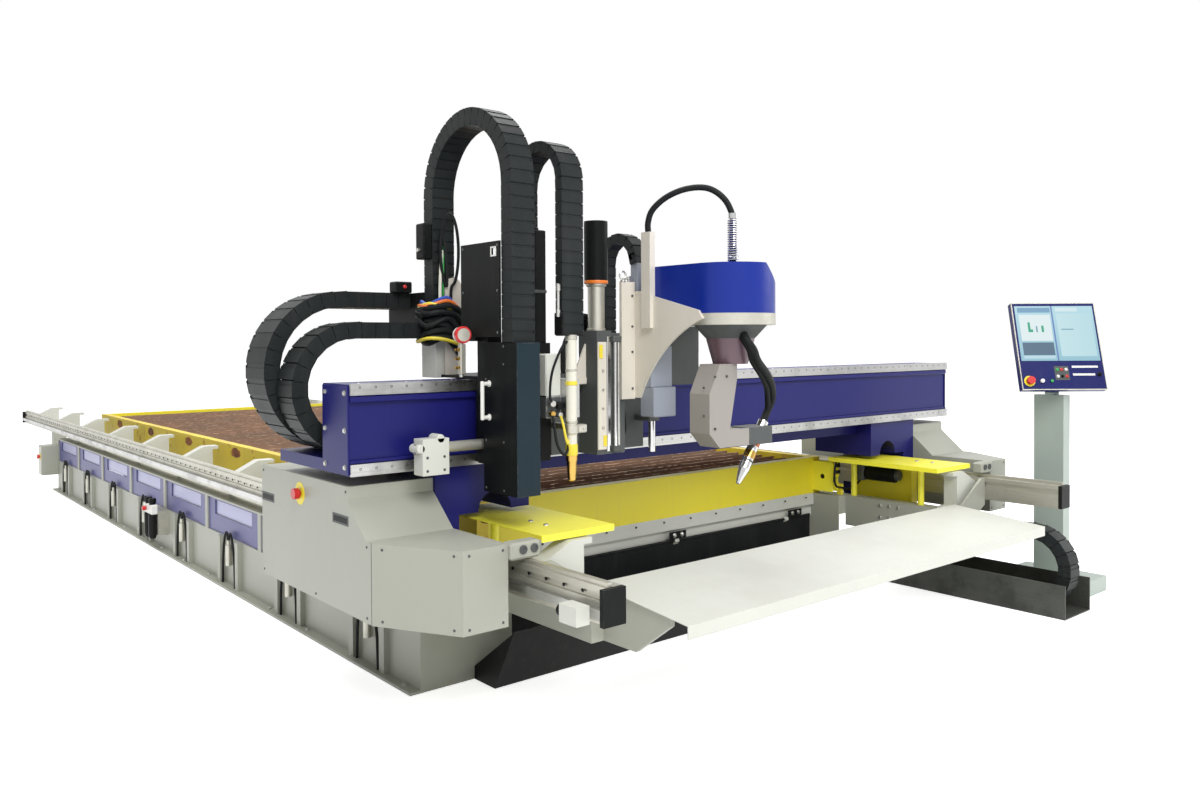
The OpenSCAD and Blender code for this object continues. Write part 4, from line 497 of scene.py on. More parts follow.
class Piece:
    """One object made of several closed shapes, each with its own finish."""

    def __init__(self, name):
        self.name, self.points, self.faces, self.marks, self.finishes = name, [], [], [], []

    def shell(self, points, faces, finish):
        start = len(self.points)
        if finish not in self.finishes:
            self.finishes.append(finish)
        self.points += [Vector(p) for p in points]
        self.faces += [[start + i for i in face] for face in faces]
        self.marks += [self.finishes.index(finish)] * len(faces)

    def slab(self, low, high, finish, ease=2.0, turn=None):
        """A block with eased edges; turn is a 4x4 that places it."""
        low, high = ([min(a, b) for a, b in zip(low, high)], [max(a, b) for a, b in zip(low, high)])
        ease = min([ease] + [(b - a) * 0.4 for a, b in zip(low, high)])
        points, number = [], {}
        for corner in range(8):
            bits = [(corner >> k) & 1 for k in range(3)]
            for flat in range(3):
                spot = [high[k] if bits[k] else low[k] for k in range(3)]
                for k in range(3):
                    if k != flat:
                        spot[k] += -ease if bits[k] else ease
                number[(corner, flat)] = len(points)
                points.append(spot)
        faces = []
        for flat in range(3):
            a, b = [k for k in range(3) if k != flat]
            for bit in (0, 1):
                ring = [(bit << flat) | (i << a) | (j << b) for i, j in ((0, 0), (1, 0), (1, 1), (0, 1))]
                faces.append([number[(c, flat)] for c in ring])
            for i in (0, 1):
                for j in (0, 1):
                    one = (i << a) | (j << b)
                    two = one | (1 << flat)
                    faces.append([number[(one, a)], number[(two, a)], number[(two, b)], number[(one, b)]])
        for corner in range(8):
            faces.append([number[(corner, k)] for k in range(3)])
        middle = Vector([(a + b) / 2 for a, b in zip(low, high)])
        solid = []
        for face in faces:
            spots = [Vector(points[i]) for i in face]
            square = (spots[1] - spots[0]).cross(spots[2] - spots[1])
            out = sum(spots, Vector()) / len(spots) - middle
            solid.append(face if square.dot(out) > 0 else face[::-1])
        if turn is not None:
            points = [turn @ Vector(p) for p in points]
        self.shell(points, solid, finish)

    def lathe(self, start, axis, outline, finish, sides=24, bored=False):
        """A turned shape: outline holds (radius, distance along axis) from start; a bored one is open inside."""
        start, axis = Vector(start), Vector(axis).normalized()
        across = axis.orthogonal().normalized()
        over = axis.cross(across)
        points, rings = [], []
        for radius, along in outline:
            centre = start + axis * along
            spots = arc(centre, across, over, radius, math.tau, sides)[:-1] if radius > 0 else [centre]
            rings.append(list(range(len(points), len(points) + len(spots))))
            points += spots
        faces = skin(rings + rings[:1] if bored else rings)
        if not bored:
            faces += [end for end in (rings[0][::-1], rings[-1]) if len(end) > 1]
        self.shell(points, faces, finish)

    def rod(self, start, end, radius, finish, sides=20, ease=1.5):
        """A round bar with eased ends."""
        start, end = Vector(start), Vector(end)
        length = (end - start).length
        ease = min(ease, radius * 0.4, length * 0.4)
        self.lathe(start, end - start, [(radius - ease, 0), (radius, ease), (radius, length - ease),
                                        (radius - ease, length)], finish, sides)

    def ring(self, start, end, radius, wall, finish, sides=28):
        """An open tube with a wall."""
        start, end = Vector(start), Vector(end)
        length = (end - start).length
        outline = [(radius - wall, 0), (radius, 0), (radius, length), (radius - wall, length)]
        self.lathe(start, end - start, outline, finish, sides, True)

    def plate(self, outline, thick, finish):
        """A flat plate: outline holds points in space, in order, and thick is the way it is extruded."""
        outline, thick = [Vector(p) for p in outline], Vector(thick)
        square = Vector()
        for a, b in zip(outline, outline[1:] + outline[:1]):
            square += a.cross(b)
        if square.dot(thick) < 0:
            outline = outline[::-1]
        count = len(outline)
        points = outline + [p + thick for p in outline]
        faces = [list(range(count))[::-1], list(range(count, 2 * count))]
        for k in range(count):
            m = (k + 1) % count
            faces.append([k, m, count + m, count + k])
        self.shell(points, faces, finish)

    def tube(self, route, radius, finish, sides=10, smooth=0):
        """A round cable or pipe along a route, smoothed by the given number of steps a span."""
        path = eased(route, smooth) if smooth else [Vector(p) for p in route]
        points = []
        across = (path[1] - path[0]).normalized().orthogonal().normalized()
        for k, spot in enumerate(path):
            ahead = (path[min(k + 1, len(path) - 1)] - path[max(k - 1, 0)]).normalized()
            across = (across - ahead * across.dot(ahead)).normalized()
            points += arc(spot, across, ahead.cross(across), radius, math.tau, sides)[:-1]
        rings = [list(range(k * sides, (k + 1) * sides)) for k in range(len(path))]
        self.shell(points, skin(rings) + [rings[0][::-1], rings[-1]], finish)

    def mesh(self):
        data = bpy.data.meshes.new(self.name)
        data.from_pydata([p * MM for p in self.points], [], self.faces)
        for finish in self.finishes:
            data.materials.append(FINISH[finish])
        data.polygons.foreach_set("material_index", self.marks)
        data.shade_smooth()
        data.set_sharp_from_angle(angle=math.radians(SHARP))
        data.update()
        return data

    def thing(self):
        made = bpy.data.objects.new(self.name, self.mesh())
        scene.collection.objects.link(made)
        return made

    def on(self, body, slot):
        """The finished object, riding on a body."""
        made = self.thing()
        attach(made, body)
        return made


def eased(route, steps):
    """Points on a smooth curve through a route."""
    route = [Vector(p) for p in route]
    ends = [route[0] * 2 - route[1]] + route + [route[-1] * 2 - route[-2]]
    path = []
    for k in range(1, len(ends) - 2):
        a, b, c, d = ends[k - 1:k + 3]
        for s in range(steps):
            t = s / steps
            path.append(0.5 * (2 * b + (c - a) * t + (2 * a - 5 * b + 4 * c - d) * t * t
                               + (3 * b - a - 3 * c + d) * t ** 3))
    path.append(route[-1])
    return path


# Repeats, made with geometry nodes

def geometry_tree(name, takes):
    tree = bpy.data.node_groups.new(name, "GeometryNodeTree")
    tree.interface.new_socket(name="Geometry", in_out="INPUT", socket_type="NodeSocketGeometry")
    for label, kind in takes:
        tree.interface.new_socket(name=label, in_out="INPUT", socket_type="NodeSocket" + kind)
    tree.interface.new_socket(name="Geometry", in_out="OUTPUT", socket_type="NodeSocketGeometry")
    start, end = tree.nodes.new("NodeGroupInput"), tree.nodes.new("NodeGroupOutput")
    return tree, start.outputs, end.inputs


def close_tree(tree, shapes, finish, end):
    """Every tree ends with real geometry and its finish."""
    real = put(tree, "GeometryNodeRealizeInstances", None, Geometry=shapes)
    coated = put(tree, "GeometryNodeSetMaterial", None, Geometry=real.outputs[0], Material=finish)
    tree.links.new(coated.outputs[0], end["Geometry"])


def fastener_tree():
    """A head on every point, standing along the point's facing."""
    tree, take, end = geometry_tree("Fasteners", [("Head", "Object"), ("Size", "Float"), ("Finish", "Material")])
    head = put(tree, "GeometryNodeObjectInfo", None, Object=take["Head"])
    facing = put(tree, "GeometryNodeInputNamedAttribute", {"data_type": "FLOAT_VECTOR"}, Name="facing")
    turn = put(tree, "FunctionNodeAlignRotationToVector", {"axis": "Z"}, Vector=facing.outputs[0])
    heads = put(tree, "GeometryNodeInstanceOnPoints", None, Points=take["Geometry"],
                Instance=head.outputs["Geometry"], Rotation=turn.outputs[0], Scale=take["Size"])
    close_tree(tree, heads.outputs[0], take["Finish"], end)
    return tree


def chain_tree():
    """Links set along a path at one pitch, each turned along the path about the Side direction."""
    tree, take, end = geometry_tree("Chain Links", [("Link", "Object"), ("Pitch", "Float"), ("Side", "Vector"),
                                                    ("Finish", "Material")])
    path = put(tree, "GeometryNodeMeshToCurve", None, Mesh=take["Geometry"])
    even = put(tree, "GeometryNodeResampleCurve", {"mode": "LENGTH"}, Curve=path.outputs[0], Length=take["Pitch"])
    link = put(tree, "GeometryNodeObjectInfo", None, Object=take["Link"])
    way = put(tree, "GeometryNodeInputTangent").outputs[0]
    out = put(tree, "ShaderNodeVectorMath", {"operation": "CROSS_PRODUCT"}, _0=way, _1=take["Side"]).outputs[0]
    along = put(tree, "FunctionNodeAlignRotationToVector", {"axis": "X"}, Vector=way)
    turn = put(tree, "FunctionNodeAlignRotationToVector", {"axis": "Z", "pivot_axis": "X"},
               Rotation=along.outputs[0], Vector=out)
    links = put(tree, "GeometryNodeInstanceOnPoints", None, Points=even.outputs[0],
                Instance=link.outputs["Geometry"], Rotation=turn.outputs[0])
    close_tree(tree, links.outputs[0], take["Finish"], end)
    return tree


def slat_tree():
    """Upright plates at one pitch, with ragged burnt tops and a slight wave."""
    tree, take, end = geometry_tree("Burnt Slats", [
        ("Length", "Float"), ("Thickness", "Float"), ("Height", "Float"), ("Count", "Int"), ("Pitch", "Float"),
        ("Corner", "Vector"), ("Burn", "Float"), ("Wave", "Float"), ("Finish", "Material")])
    size = put(tree, "ShaderNodeCombineXYZ", None, X=take["Length"], Y=take["Thickness"], Z=take["Height"])
    slat = put(tree, "GeometryNodeMeshCube", None, Size=size.outputs[0], Vertices_X=150, Vertices_Y=2,
               Vertices_Z=3)
    step = put(tree, "ShaderNodeCombineXYZ", None, Y=take["Pitch"])
    line = put(tree, "GeometryNodeMeshLine", None, Count=take["Count"], Start_Location=take["Corner"],
               Offset=step.outputs[0])
    row = put(tree, "GeometryNodeInstanceOnPoints", None, Points=line.outputs[0], Instance=slat.outputs[0])
    real = put(tree, "GeometryNodeRealizeInstances", None, Geometry=row.outputs[0])
    at = put(tree, "GeometryNodeInputPosition").outputs[0]
    cut = put(tree, "ShaderNodeSeparateXYZ", None, Vector=at)
    base = put(tree, "ShaderNodeSeparateXYZ", None, Vector=take["Corner"])
    high = minus(tree, cut.outputs["Z"], base.outputs["Z"])
    share = maths(tree, "DIVIDE", high, take["Height"])
    top = maths(tree, "GREATER_THAN", share, 0.4)
    bites = span(tree, noise(tree, stretched(tree, at, (1.0, 7.3, 0.0)), 9.0, 4.0, 0.7), 0.50, 0.74)
    nicks = span(tree, noise(tree, stretched(tree, at, (1.0, 5.1, 0.0)), 31.0, 2.0), 0.48, 0.70, 0.0, 0.45)
    deep = times(tree, plus(tree, bites, nicks, True), take["Burn"])
    drop = times(tree, times(tree, deep, top), -1.0)
    sway = minus(tree, noise(tree, stretched(tree, at, (1.0, 3.7, 0.0)), 2.2, 2.0), 0.5)
    sway = times(tree, times(tree, sway, take["Wave"]), share)
    move = put(tree, "ShaderNodeCombineXYZ", None, Y=sway, Z=drop)
    bent = put(tree, "GeometryNodeSetPosition", None, Geometry=real.outputs[0], Offset=move.outputs[0])
    close_tree(tree, bent.outputs[0], take["Finish"], end)
    return tree


FASTENERS, CHAIN, SLATS = fastener_tree(), chain_tree(), slat_tree()


def grown(name, tree, values, points=((0, 0, 0),), edges=(), facing=None, angle=SHARP):
    """Runs a tree on a few points and returns a plain mesh object."""
    seed = bpy.data.meshes.new(name + "_seed")
    seed.from_pydata([Vector(p) for p in points], list(edges), [])
    if facing is not None:
        field = seed.attributes.new("facing", "FLOAT_VECTOR", "POINT")
        field.data.foreach_set("vector", [c for f in facing for c in f])
    holder = bpy.data.objects.new(name + "_seed", seed)
    scene.collection.objects.link(holder)
    modifier = holder.modifiers.new("grow", "NODES")
    modifier.node_group = tree
    sockets = {i.name: i.identifier for i in tree.interface.items_tree if i.in_out == "INPUT"}
    for key, value in values.items():
        modifier[sockets[key]] = value
    bpy.context.view_layer.update()
    ready = holder.evaluated_get(bpy.context.evaluated_depsgraph_get())
    data = bpy.data.meshes.new_from_object(ready)
    data.name = name
    if "facing" in data.attributes:
        data.attributes.remove(data.attributes["facing"])
    data.shade_smooth()
    data.set_sharp_from_angle(angle=math.radians(angle))
    made = bpy.data.objects.new(name, data)
    scene.collection.objects.link(made)
    bpy.data.objects.remove(holder)
    bpy.data.meshes.remove(seed)
    return made


def template(piece):
    """A shape that the trees copy; it is taken away before the end."""
    made = piece.thing()
    made.hide_render = True
    TEMPLATES.append(made)
    return made


TEMPLATES = []


def bolt_heads():
    """One template for each kind of head, from its turned parts: start, outline and sides."""
    shapes = {
        "hex": [(0, [(9.5, 0), (9.5, 0.8)], 12), (0.8, [(8, 0), (8, 4.2), (6.6, 5.2)], 6)],
        "cap": [(0, [(6.5, 0), (6.5, 5.2), (5.8, 6), (3.4, 6), (3.4, 3), (0, 3)], 10)],
        "dome": [(0, [(7, 0), (6.4, 2), (4.4, 3.6), (0, 4.2)], 10)],
        "flush": [(0, [(5, -2), (5, 0.15), (3, 0.15), (2.6, -0.8), (0, -0.8)], 10)],
    }
    heads = {}
    for kind, parts in shapes.items():
        made = Piece(kind + "_head")
        for start, outline, sides in parts:
            made.lathe((0, 0, start), UP, outline, "zinc", sides)
        heads[kind] = template(made)
    return heads


HEADS = bolt_heads()


def bolts(name, body, spots, facing, head="hex", size=1.0, finish="zinc"):
    """Bolt heads at places in millimetres, all along one facing or along a list of facings."""
    ways = facing if isinstance(facing, list) else [facing] * len(spots)
    made = grown(name, FASTENERS, {"Head": HEADS[head], "Size": size, "Finish": FINISH[finish]},
                 [Vector(s) * MM for s in spots], facing=ways)
    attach(made, body)


def stations(start, end, count):
    """Even places from one end to the other."""
    return [start + (end - start) * k / (count - 1) for k in range(count)]


# Energy chains

TALL_PITCH, LONG_PITCH, LONG_BAND = 46.0, 56.0, 66.0


def link_shape(name, width, band, pitch):
    """One closed link: flush side plates with a tongue into the next link, and a shingled lid on each face."""
    made = Piece(name)
    half, deep, wall = width / 2, band / 2, 4.0
    lip, notch = 0.22 * pitch, 2.2
    for side in (-1, 1):
        for x0, x1, inset, drop in ((-0.5, 0.485, 0.0, 0.0), (0.30, 0.66, wall + 0.2, 3.0)):
            y0, y1 = side * (half - inset), side * (half - inset - wall)
            a, b, h = x0 * pitch, x1 * pitch, deep - drop
            outline = [(a, -h + notch), (a + notch, -h), (b - notch, -h), (b, -h + notch), (b, h - notch),
                       (b - notch, h), (a + notch, h), (a, h - notch)]
            made.plate([(x, y0, z) for x, z in outline], (0, y1 - y0, 0), "chain")
        made.lathe((-0.26 * pitch, side * (half - 0.6), 0), (0, side, 0), [(6.5, 0), (5.8, 0.9)], "chain", 8)
    for face in (-1, 1):
        top, low = deep * face, (deep - 5) * face
        outline = [(-0.5 * pitch, top), (0.5 * pitch - lip, top), (0.5 * pitch - lip, top - 3.4 * face),
                   (0.64 * pitch, top - 3.6 * face), (0.64 * pitch, low), (-0.5 * pitch, low)]
        made.plate([(x, -half + wall, z) for x, z in outline], (0, width - 2 * wall, 0), "chain")
    return template(made)


def chain_run(name, path, width, band, side, pitch):
    """A run of links along a path in millimetres."""
    link = link_shape(name + "_link", width, band, pitch)
    path = [Vector(p) * MM for p in path]
    edges = [(k, k + 1) for k in range(len(path) - 1)]
    made = grown(name, CHAIN, {"Link": link, "Pitch": pitch * MM, "Side": side, "Finish": FINISH["chain"]}, path,
                 edges)
    return made


def arch(centre, radius, start, end, near, far, steps=60):
    """A path up one leg, over a half circle and down the other, in a plane given by two directions."""
    near, far = Vector(near), Vector(far)
    return ([centre - near * radius + far * start] + arc(centre, -near, far, radius, math.pi, steps)
            + [centre + near * radius + far * end])


def standing_chain(node, band, near_z, far_z):
    """A chain that stands up from a lifting head, turns over and comes down to its carriage."""
    low, high = box_of(node)
    lap, reach = 20, (high.y - low.y) / 2
    centre = Vector(((low.x + high.x) / 2, (low.y + high.y) / 2, high.z - reach))
    radius = reach - band / 2
    path = arch(centre, radius, near_z - centre.z + lap, far_z - centre.z + lap, (0, 1, 0), UP)
    made = chain_run(node + "_links", path, high.x - low.x, band, (-1.0, 0.0, 0.0), TALL_PITCH)
    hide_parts(node)
    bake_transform(made)


standing_chain("plasma_chain", 70.0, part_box("plasma_cover")[1][2] / MM, 1450.0)
standing_chain("oxy_chain", 42.0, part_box("oxy_torch")[1][2] / MM, 1450.0)
standing_chain("bevel_chain", 45.0, 1785.0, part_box("bevel_chain")[0][2] / MM)


def rolling_chain(name, nodes_of, bodies, start, turn, end, radius, width, along, side, first):
    """A chain that lies, rolls over a bend and comes back above itself: start and end are its two far ends."""
    mid, lap, steps = radius - LONG_BAND / 2, LONG_PITCH, 60
    along, turn, up = Vector(along), Vector(turn), Vector(UP)
    bend = arc(turn, -up, along, mid, math.pi, steps)
    base = [turn - along * start - up * mid, turn - along * lap - up * mid]
    top = [turn - along * lap + up * mid, turn - along * end + up * mid]
    lying, turning, upper = (chain_run(name + part, path, width, LONG_BAND, side, LONG_PITCH)
                             for part, path in (("_run_links", base), ("_bend_links", bend), ("_top_links", top)))
    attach(lying, bodies[0])
    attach(turning, bodies[1])
    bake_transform(upper)
    if first:
        for piece, node in zip((lying, turning, upper), nodes_of):
            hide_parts(node)


def tray_chains():
    """Two chains lying on the gantry tray, rolling over a bend at the left and back to the carriage."""
    near, far = box_of("tray_chain_bends")
    base_x, top_x = (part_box(n)[1][0] / MM - LONG_PITCH / 2 for n in ("tray_chain_base", "tray_chain_tops"))
    for name, back_y, width, inset, radius in (("wide_tray", far.y, 200.0, 0.0, 328.0),
                                               ("narrow_tray", near.y + 140.0, 140.0, 46.0, 263.0)):
        turn = Vector((near.x + inset + radius, back_y - width / 2, near.z + radius))
        rolling_chain(name, ("tray_chain_base", "tray_chain_bends", "tray_chain_tops"),
                      ("gantry", "tray_bends", "torch_slide"), base_x - turn.x, turn, top_x - turn.x, radius,
                      width, LEFT, (0.0, 1.0, 0.0), name == "wide_tray")


def floor_chain():
    """The long chain in the floor channel, up over its bend and back to the gantry's arm."""
    low, high = box_of("floor_chain_bend")
    radius = (high.z - low.z) / 2
    turn = Vector(((low.x + high.x) / 2, high.y, low.z + radius))
    base_y, top_y = (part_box(n)[1][1] / MM - LONG_PITCH / 2 for n in ("floor_chain_base", "floor_chain_top"))
    rolling_chain("floor", ("floor_chain_base", "floor_chain_bend", "floor_chain_top"),
                  ("table", "floor_bend", "gantry"), base_y - turn.y, turn, top_y - turn.y, radius,
                  high.x - low.x, FRONT, (1.0, 0.0, 0.0), True)


# Slat bed

def slat_bed():
    """The row of burnt slats, in metres."""
    low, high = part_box("slats")
    count, thick, burn, wave = 68, 0.006, 0.006, 0.010
    pitch = (high[1] - low[1] - thick) / (count - 1)
    corner = ((low[0] + high[0]) / 2, low[1] + thick / 2, (low[2] + high[2]) / 2)
    made = grown("slat_bed", SLATS, {
        "Length": high[0] - low[0], "Thickness": thick, "Height": high[2] - low[2], "Count": count, "Pitch": pitch,
        "Corner": corner, "Burn": burn, "Wave": wave, "Finish": FINISH["rust"]}, angle=40)
    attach(made, "table")
    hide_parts("slats")


# Hoses

TURRET_X, TURRET_Y = -615.0, -4674.5
HOSE_STEPS, HOSE_SIDES = 5, 12
BEVEL_ROUTE = [
    (-0.814, -4.388, 1.9083), (-0.814, -4.388, 1.950), (-0.804, -4.403, 2.000), (-0.773, -4.445, 2.048),
    (-0.730, -4.501, 2.080), (-0.685, -4.560, 2.090), (-0.650, -4.605, 2.078), (-0.620, -4.644, 2.040),
    (-0.603, -4.667, 1.990), (-0.597, -4.6745, 1.940), (-0.597, -4.6745, 1.860), (-0.597, -4.6745, 1.774)]
TORCH_ROUTE = [
    (-0.6555, -4.7827, 1.4713), (-0.665, -4.809, 1.446), (-0.645, -4.826, 1.408), (-0.600, -4.810, 1.362),
    (-0.515, -4.785, 1.308), (-0.430, -4.742, 1.252), (-0.372, -4.694, 1.190), (-0.380, -4.6745, 1.138),
    (-0.4071, -4.6745, 1.0957)]


def hose(name, node, route, radius):
    """A free hose along the same route as its solid, in metres, with its path and length."""
    path = eased(route, HOSE_STEPS)
    made = Piece(name)
    made.tube([p / MM for p in path], radius / MM, "rubber", HOSE_SIDES)
    made = made.thing()
    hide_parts(node)
    return made, path, sum((b - a).length for a, b in zip(path, path[1:]))


def hoses():
    """The arching hose over the bevel head, and the hose from the turret to the torch."""
    bevel_hose, bevel_path, bevel_length = hose("bevel_hose_tube", "bevel_hose", BEVEL_ROUTE, 0.013)
    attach(bevel_hose, "bevel_head")
    torch_hose, torch_path, torch_length = hose("torch_hose_tube", "torch_hose", TORCH_ROUTE, 0.016)
    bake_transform(torch_hose)


def second_torch_hose():
    """A thinner hose that follows the torch hose, nearer the turret's axis."""
    apart, axis = 0.026, Vector((TURRET_X * MM, TURRET_Y * MM))
    route = [Vector(p) for p in TORCH_ROUTE]
    for spot in route[:-2]:
        spot.xy = spot.xy + (axis - spot.xy).normalized() * apart
    made = Piece("second_torch_hose")
    made.tube([p / MM for p in eased(route, HOSE_STEPS)], 13.0, "rubber", HOSE_SIDES)
    made = made.thing()
    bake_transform(made)


def guard_spring():
    """The wire spring that keeps the hose from kinking at the head."""
    turns, steps, wire, coil = 18, 20, 3.6, 21.0
    low, high = box_of("spring_guard")
    x, y = (low.x + high.x) / 2, (low.y + high.y) / 2
    z0, length = low.z + wire, high.z - low.z - 2 * wire
    route = []
    for k in range(turns * steps + 1):
        turn = 2 * math.pi * k / steps
        route.append((x + coil * math.cos(turn), y + coil * math.sin(turn), z0 + length * k / (turns * steps)))
    made = Piece("hose_spring")
    made.tube(route, wire, "chrome", 8)
    made = made.on("bevel_head", "machined_steel")
    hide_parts("spring_guard")


# Beam and carriage covers

def beam_trim():
    """Flush screws along both guide strips, ribs on the blue face, and bolted end plates."""
    low, high = box_of("guide_strips")
    back = box_of("gantry_beam")[1].y
    plate_in, plate_out = high.x - 1, high.x + 6
    screw_edge, screw_count, top_edge, top_count = 36, 64, 60, 21
    rows = [(x, low.y, z) for z in (low.z + 26, high.z - 15)
            for x in stations(low.x + screw_edge, high.x - screw_edge, screw_count)]
    bolts("strip_screws", "gantry", rows, FRONT, "flush", 1.0, "black")
    ribs = Piece("beam_ribs")
    ribs.slab((low.x + 2, low.y + 5, high.z - 72), (high.x - 2, low.y + 14, high.z - 46), "beam", 4)
    ribs.slab((low.x + 2, low.y + 7, low.z + 45), (high.x - 2, low.y + 14, low.z + 58), "beam", 3)
    for side, _ in SIDES:
        ribs.slab((side * plate_in, low.y + 15, low.z + 4), (side * plate_out, back - 3, high.z - 8), "beam", 3)
    ribs.on("gantry", "beam_paint")
    for side, word in SIDES:
        spots = [(side * plate_out, y, z) for y in (low.y + 40, back - 30)
                 for z in (low.z + 32, low.z + 168, high.z - 36)]
        bolts("beam_end_bolts_" + word, "gantry", spots, (side, 0, 0), "hex", 1.1)
    tops = [(x, low.y + 60, high.z - 4) for x in stations(low.x + top_edge, high.x - top_edge, top_count)]
    bolts("beam_top_bolts", "gantry", tops, UP, "dome", 0.8)


def cover_trim():
    """Grip slots with painted shade in their openings, screws and folded edges of the two carriage covers, and the
    disc behind the stop button.
    """
    low, high = box_of("cover_right")
    face, front, seam = high.x, low.y, -4276
    bottom_row, nose_row, top_row, nose_top = 462, 716, 893, 736
    slots = ((-3312, 782), (-4026, 786))
    side_screws = ((-3262, top_row), (-3262, bottom_row), (-4072, top_row), (-4240, nose_row), (-4240, bottom_row),
                   (-3800, bottom_row))
    nose_across, nose_along = 0.480, 0.877
    for side, word in SIDES:
        made = Piece("cover_slots_" + word)
        for y, z in slots:
            made.slab((side * (face - 1), y - 68, z - 19), (side * (face + 0.9), y + 68, z + 19), "dark_grey", 0.6)
            # The black slab in each slot is painted shade, a flat dark sheet for the slot's shadowed opening.
            made.slab((side * (face - 0.5), y - 58, z - 11), (side * (face + 1.5), y + 58, z + 11), "black", 0.5)
        made.slab((side * (face - 1), seam, low.z + 1), (side * (face + 0.8), seam + 3, nose_top), "dark_grey",
                  0.3)
        made.on("gantry", "black_paint")
        corner = Vector((side * face, seam - 4.5, 0))
        along, out = Vector((-side * nose_across, -nose_along, 0)), Vector((side * nose_along, -nose_across, 0))
        screws = [(corner + along * t + Vector((0, 0, z)), out) for z in (nose_row, bottom_row) for t in (42, 330)]
        screws += [((side * face, y, z), (side, 0, 0)) for y, z in side_screws]
        screws += [((side * x, front, z), FRONT) for x in (1712, 1850) for z in (bottom_row, nose_row)]
        bolts("cover_screws_" + word, "gantry", [s for s, _ in screws], [w for _, w in screws], "dome", 0.75,
              "dark_grey")
    button = sum(box_of("gantry_estop"), Vector()) / 2
    disc = Piece("stop_button_disc")
    disc.ring((-face + 1, button.y, button.z), (-face - 1.4, button.y, button.z), 46, 34, "yellow", 36)
    disc.on("gantry", "yellow_paint")
    folds = Piece("cover_folds")
    for side, _ in SIDES:
        folds.slab((side * (low.x + 2), front + 3.5, nose_top - 3), (side * (low.x + 10), -4240, nose_top + 1),
                   "grey", 1.2)
        folds.slab((side * (face - 10), -4080, high.z - 3), (side * (face - 1), high.y - 3.5, high.z + 1.5),
                   "grey", 1.2)
    folds.on("gantry", "grey_paint")


# Torch stations

def tie_and_clamp():
    """The tie tube along the beam with its cast clamp."""
    low = box_of("torch_carriage")[0]
    tube_y, tube_z, front, back = -4194.8, 1043.0, -4228.3, -4161.5
    made = Piece("tie_tube_clamp")
    made.rod((low.x - 1, tube_y, tube_z), (-1511, tube_y, tube_z), 20.8, "alloy", 28)
    made.slab((low.x + 15, front, low.z - 1), (-1701, back, 1082), "pale", 0.8)
    for x, z in ((-1820, 1046), (-1736, 1080)):
        made.rod((x, front, z), (x, back, z), 17, "pale", 20, 3)
    made.on("torch_slide", "pale_paint")
    spots = [(x, front, z) for x in (-1795, -1722) for z in (962, 1012)]
    bolts("clamp_bolts", "torch_slide", spots, FRONT, "dome", 0.8, "dark_grey")


def plasma_trim():
    """Front panel, white handle and screws of the plasma cover; eye and screws of the plate behind it."""
    low, high = box_of("plasma_cover")
    front, left = low.y, box_of("plasma_chain")[0].x
    made = Piece("plasma_front_panel")
    made.slab((left - 1.0, front - 2.0, low.z - 1), (high.x + 1.0, front + 1, high.z - 2), "teal", 1.5)
    made.slab((left - 1.2, front - 0.5, low.z + 4), (left + 1, front + 70, high.z - 8), "plastic", 1.0)
    made.on("plasma_head", "cover_plastic")
    grip = Piece("plasma_grip")
    x, y, grip_low, grip_high = low.x + 7, high.y - 40, 1144, 1294
    for z in (grip_low + 10, grip_high - 10):
        grip.rod((x - 3, y, z), (left - 0.6, y, z), 7.8, "white_plastic", 14, 2)
        grip.lathe((left, y, z), LEFT, [(13, -1), (13, 2.4), (11, 3.4)], "white_plastic", 16)
    grip.rod((x, y, grip_low), (x, y, grip_high), 7.9, "white_plastic", 14, 3)
    grip.on("plasma_head", "white_knob")
    heads = [(left, front + 88, z) for z in (low.z + 16, low.z + 200, 1360, high.z - 16)]
    heads += [(left, high.y - 16, z) for z in (low.z + 16, low.z + 200, 1300)]
    bolts("plasma_cover_screws", "plasma_head", heads, LEFT, "dome", 0.7, "dark_grey")
    frame_x, y0, z0, size, rim = -1557.8, -4334.5, 1777.0, 26.0, 6
    y1, z1 = y0 + size, z0 + size
    eye = Piece("side_plate_eye")
    for a, b in (((y0 - rim, z0 - rim), (y1 + rim, z0)), ((y0 - rim, z1), (y1 + rim, z1 + rim)),
                 ((y0 - rim, z0), (y0, z1)), ((y1, z0), (y1 + rim, z1))):
        eye.slab((frame_x - 1.6, *a), (frame_x + 0.6, *b), "white_plastic", 0.5)
    eye.on("torch_slide", "white_knob")
    spots = [(frame_x, y, z) for y in (-4346, -4104) for z in (1480, 1640, 1812)]
    bolts("side_plate_screws", "torch_slide", spots, LEFT, "dome", 0.8, "dark_grey")


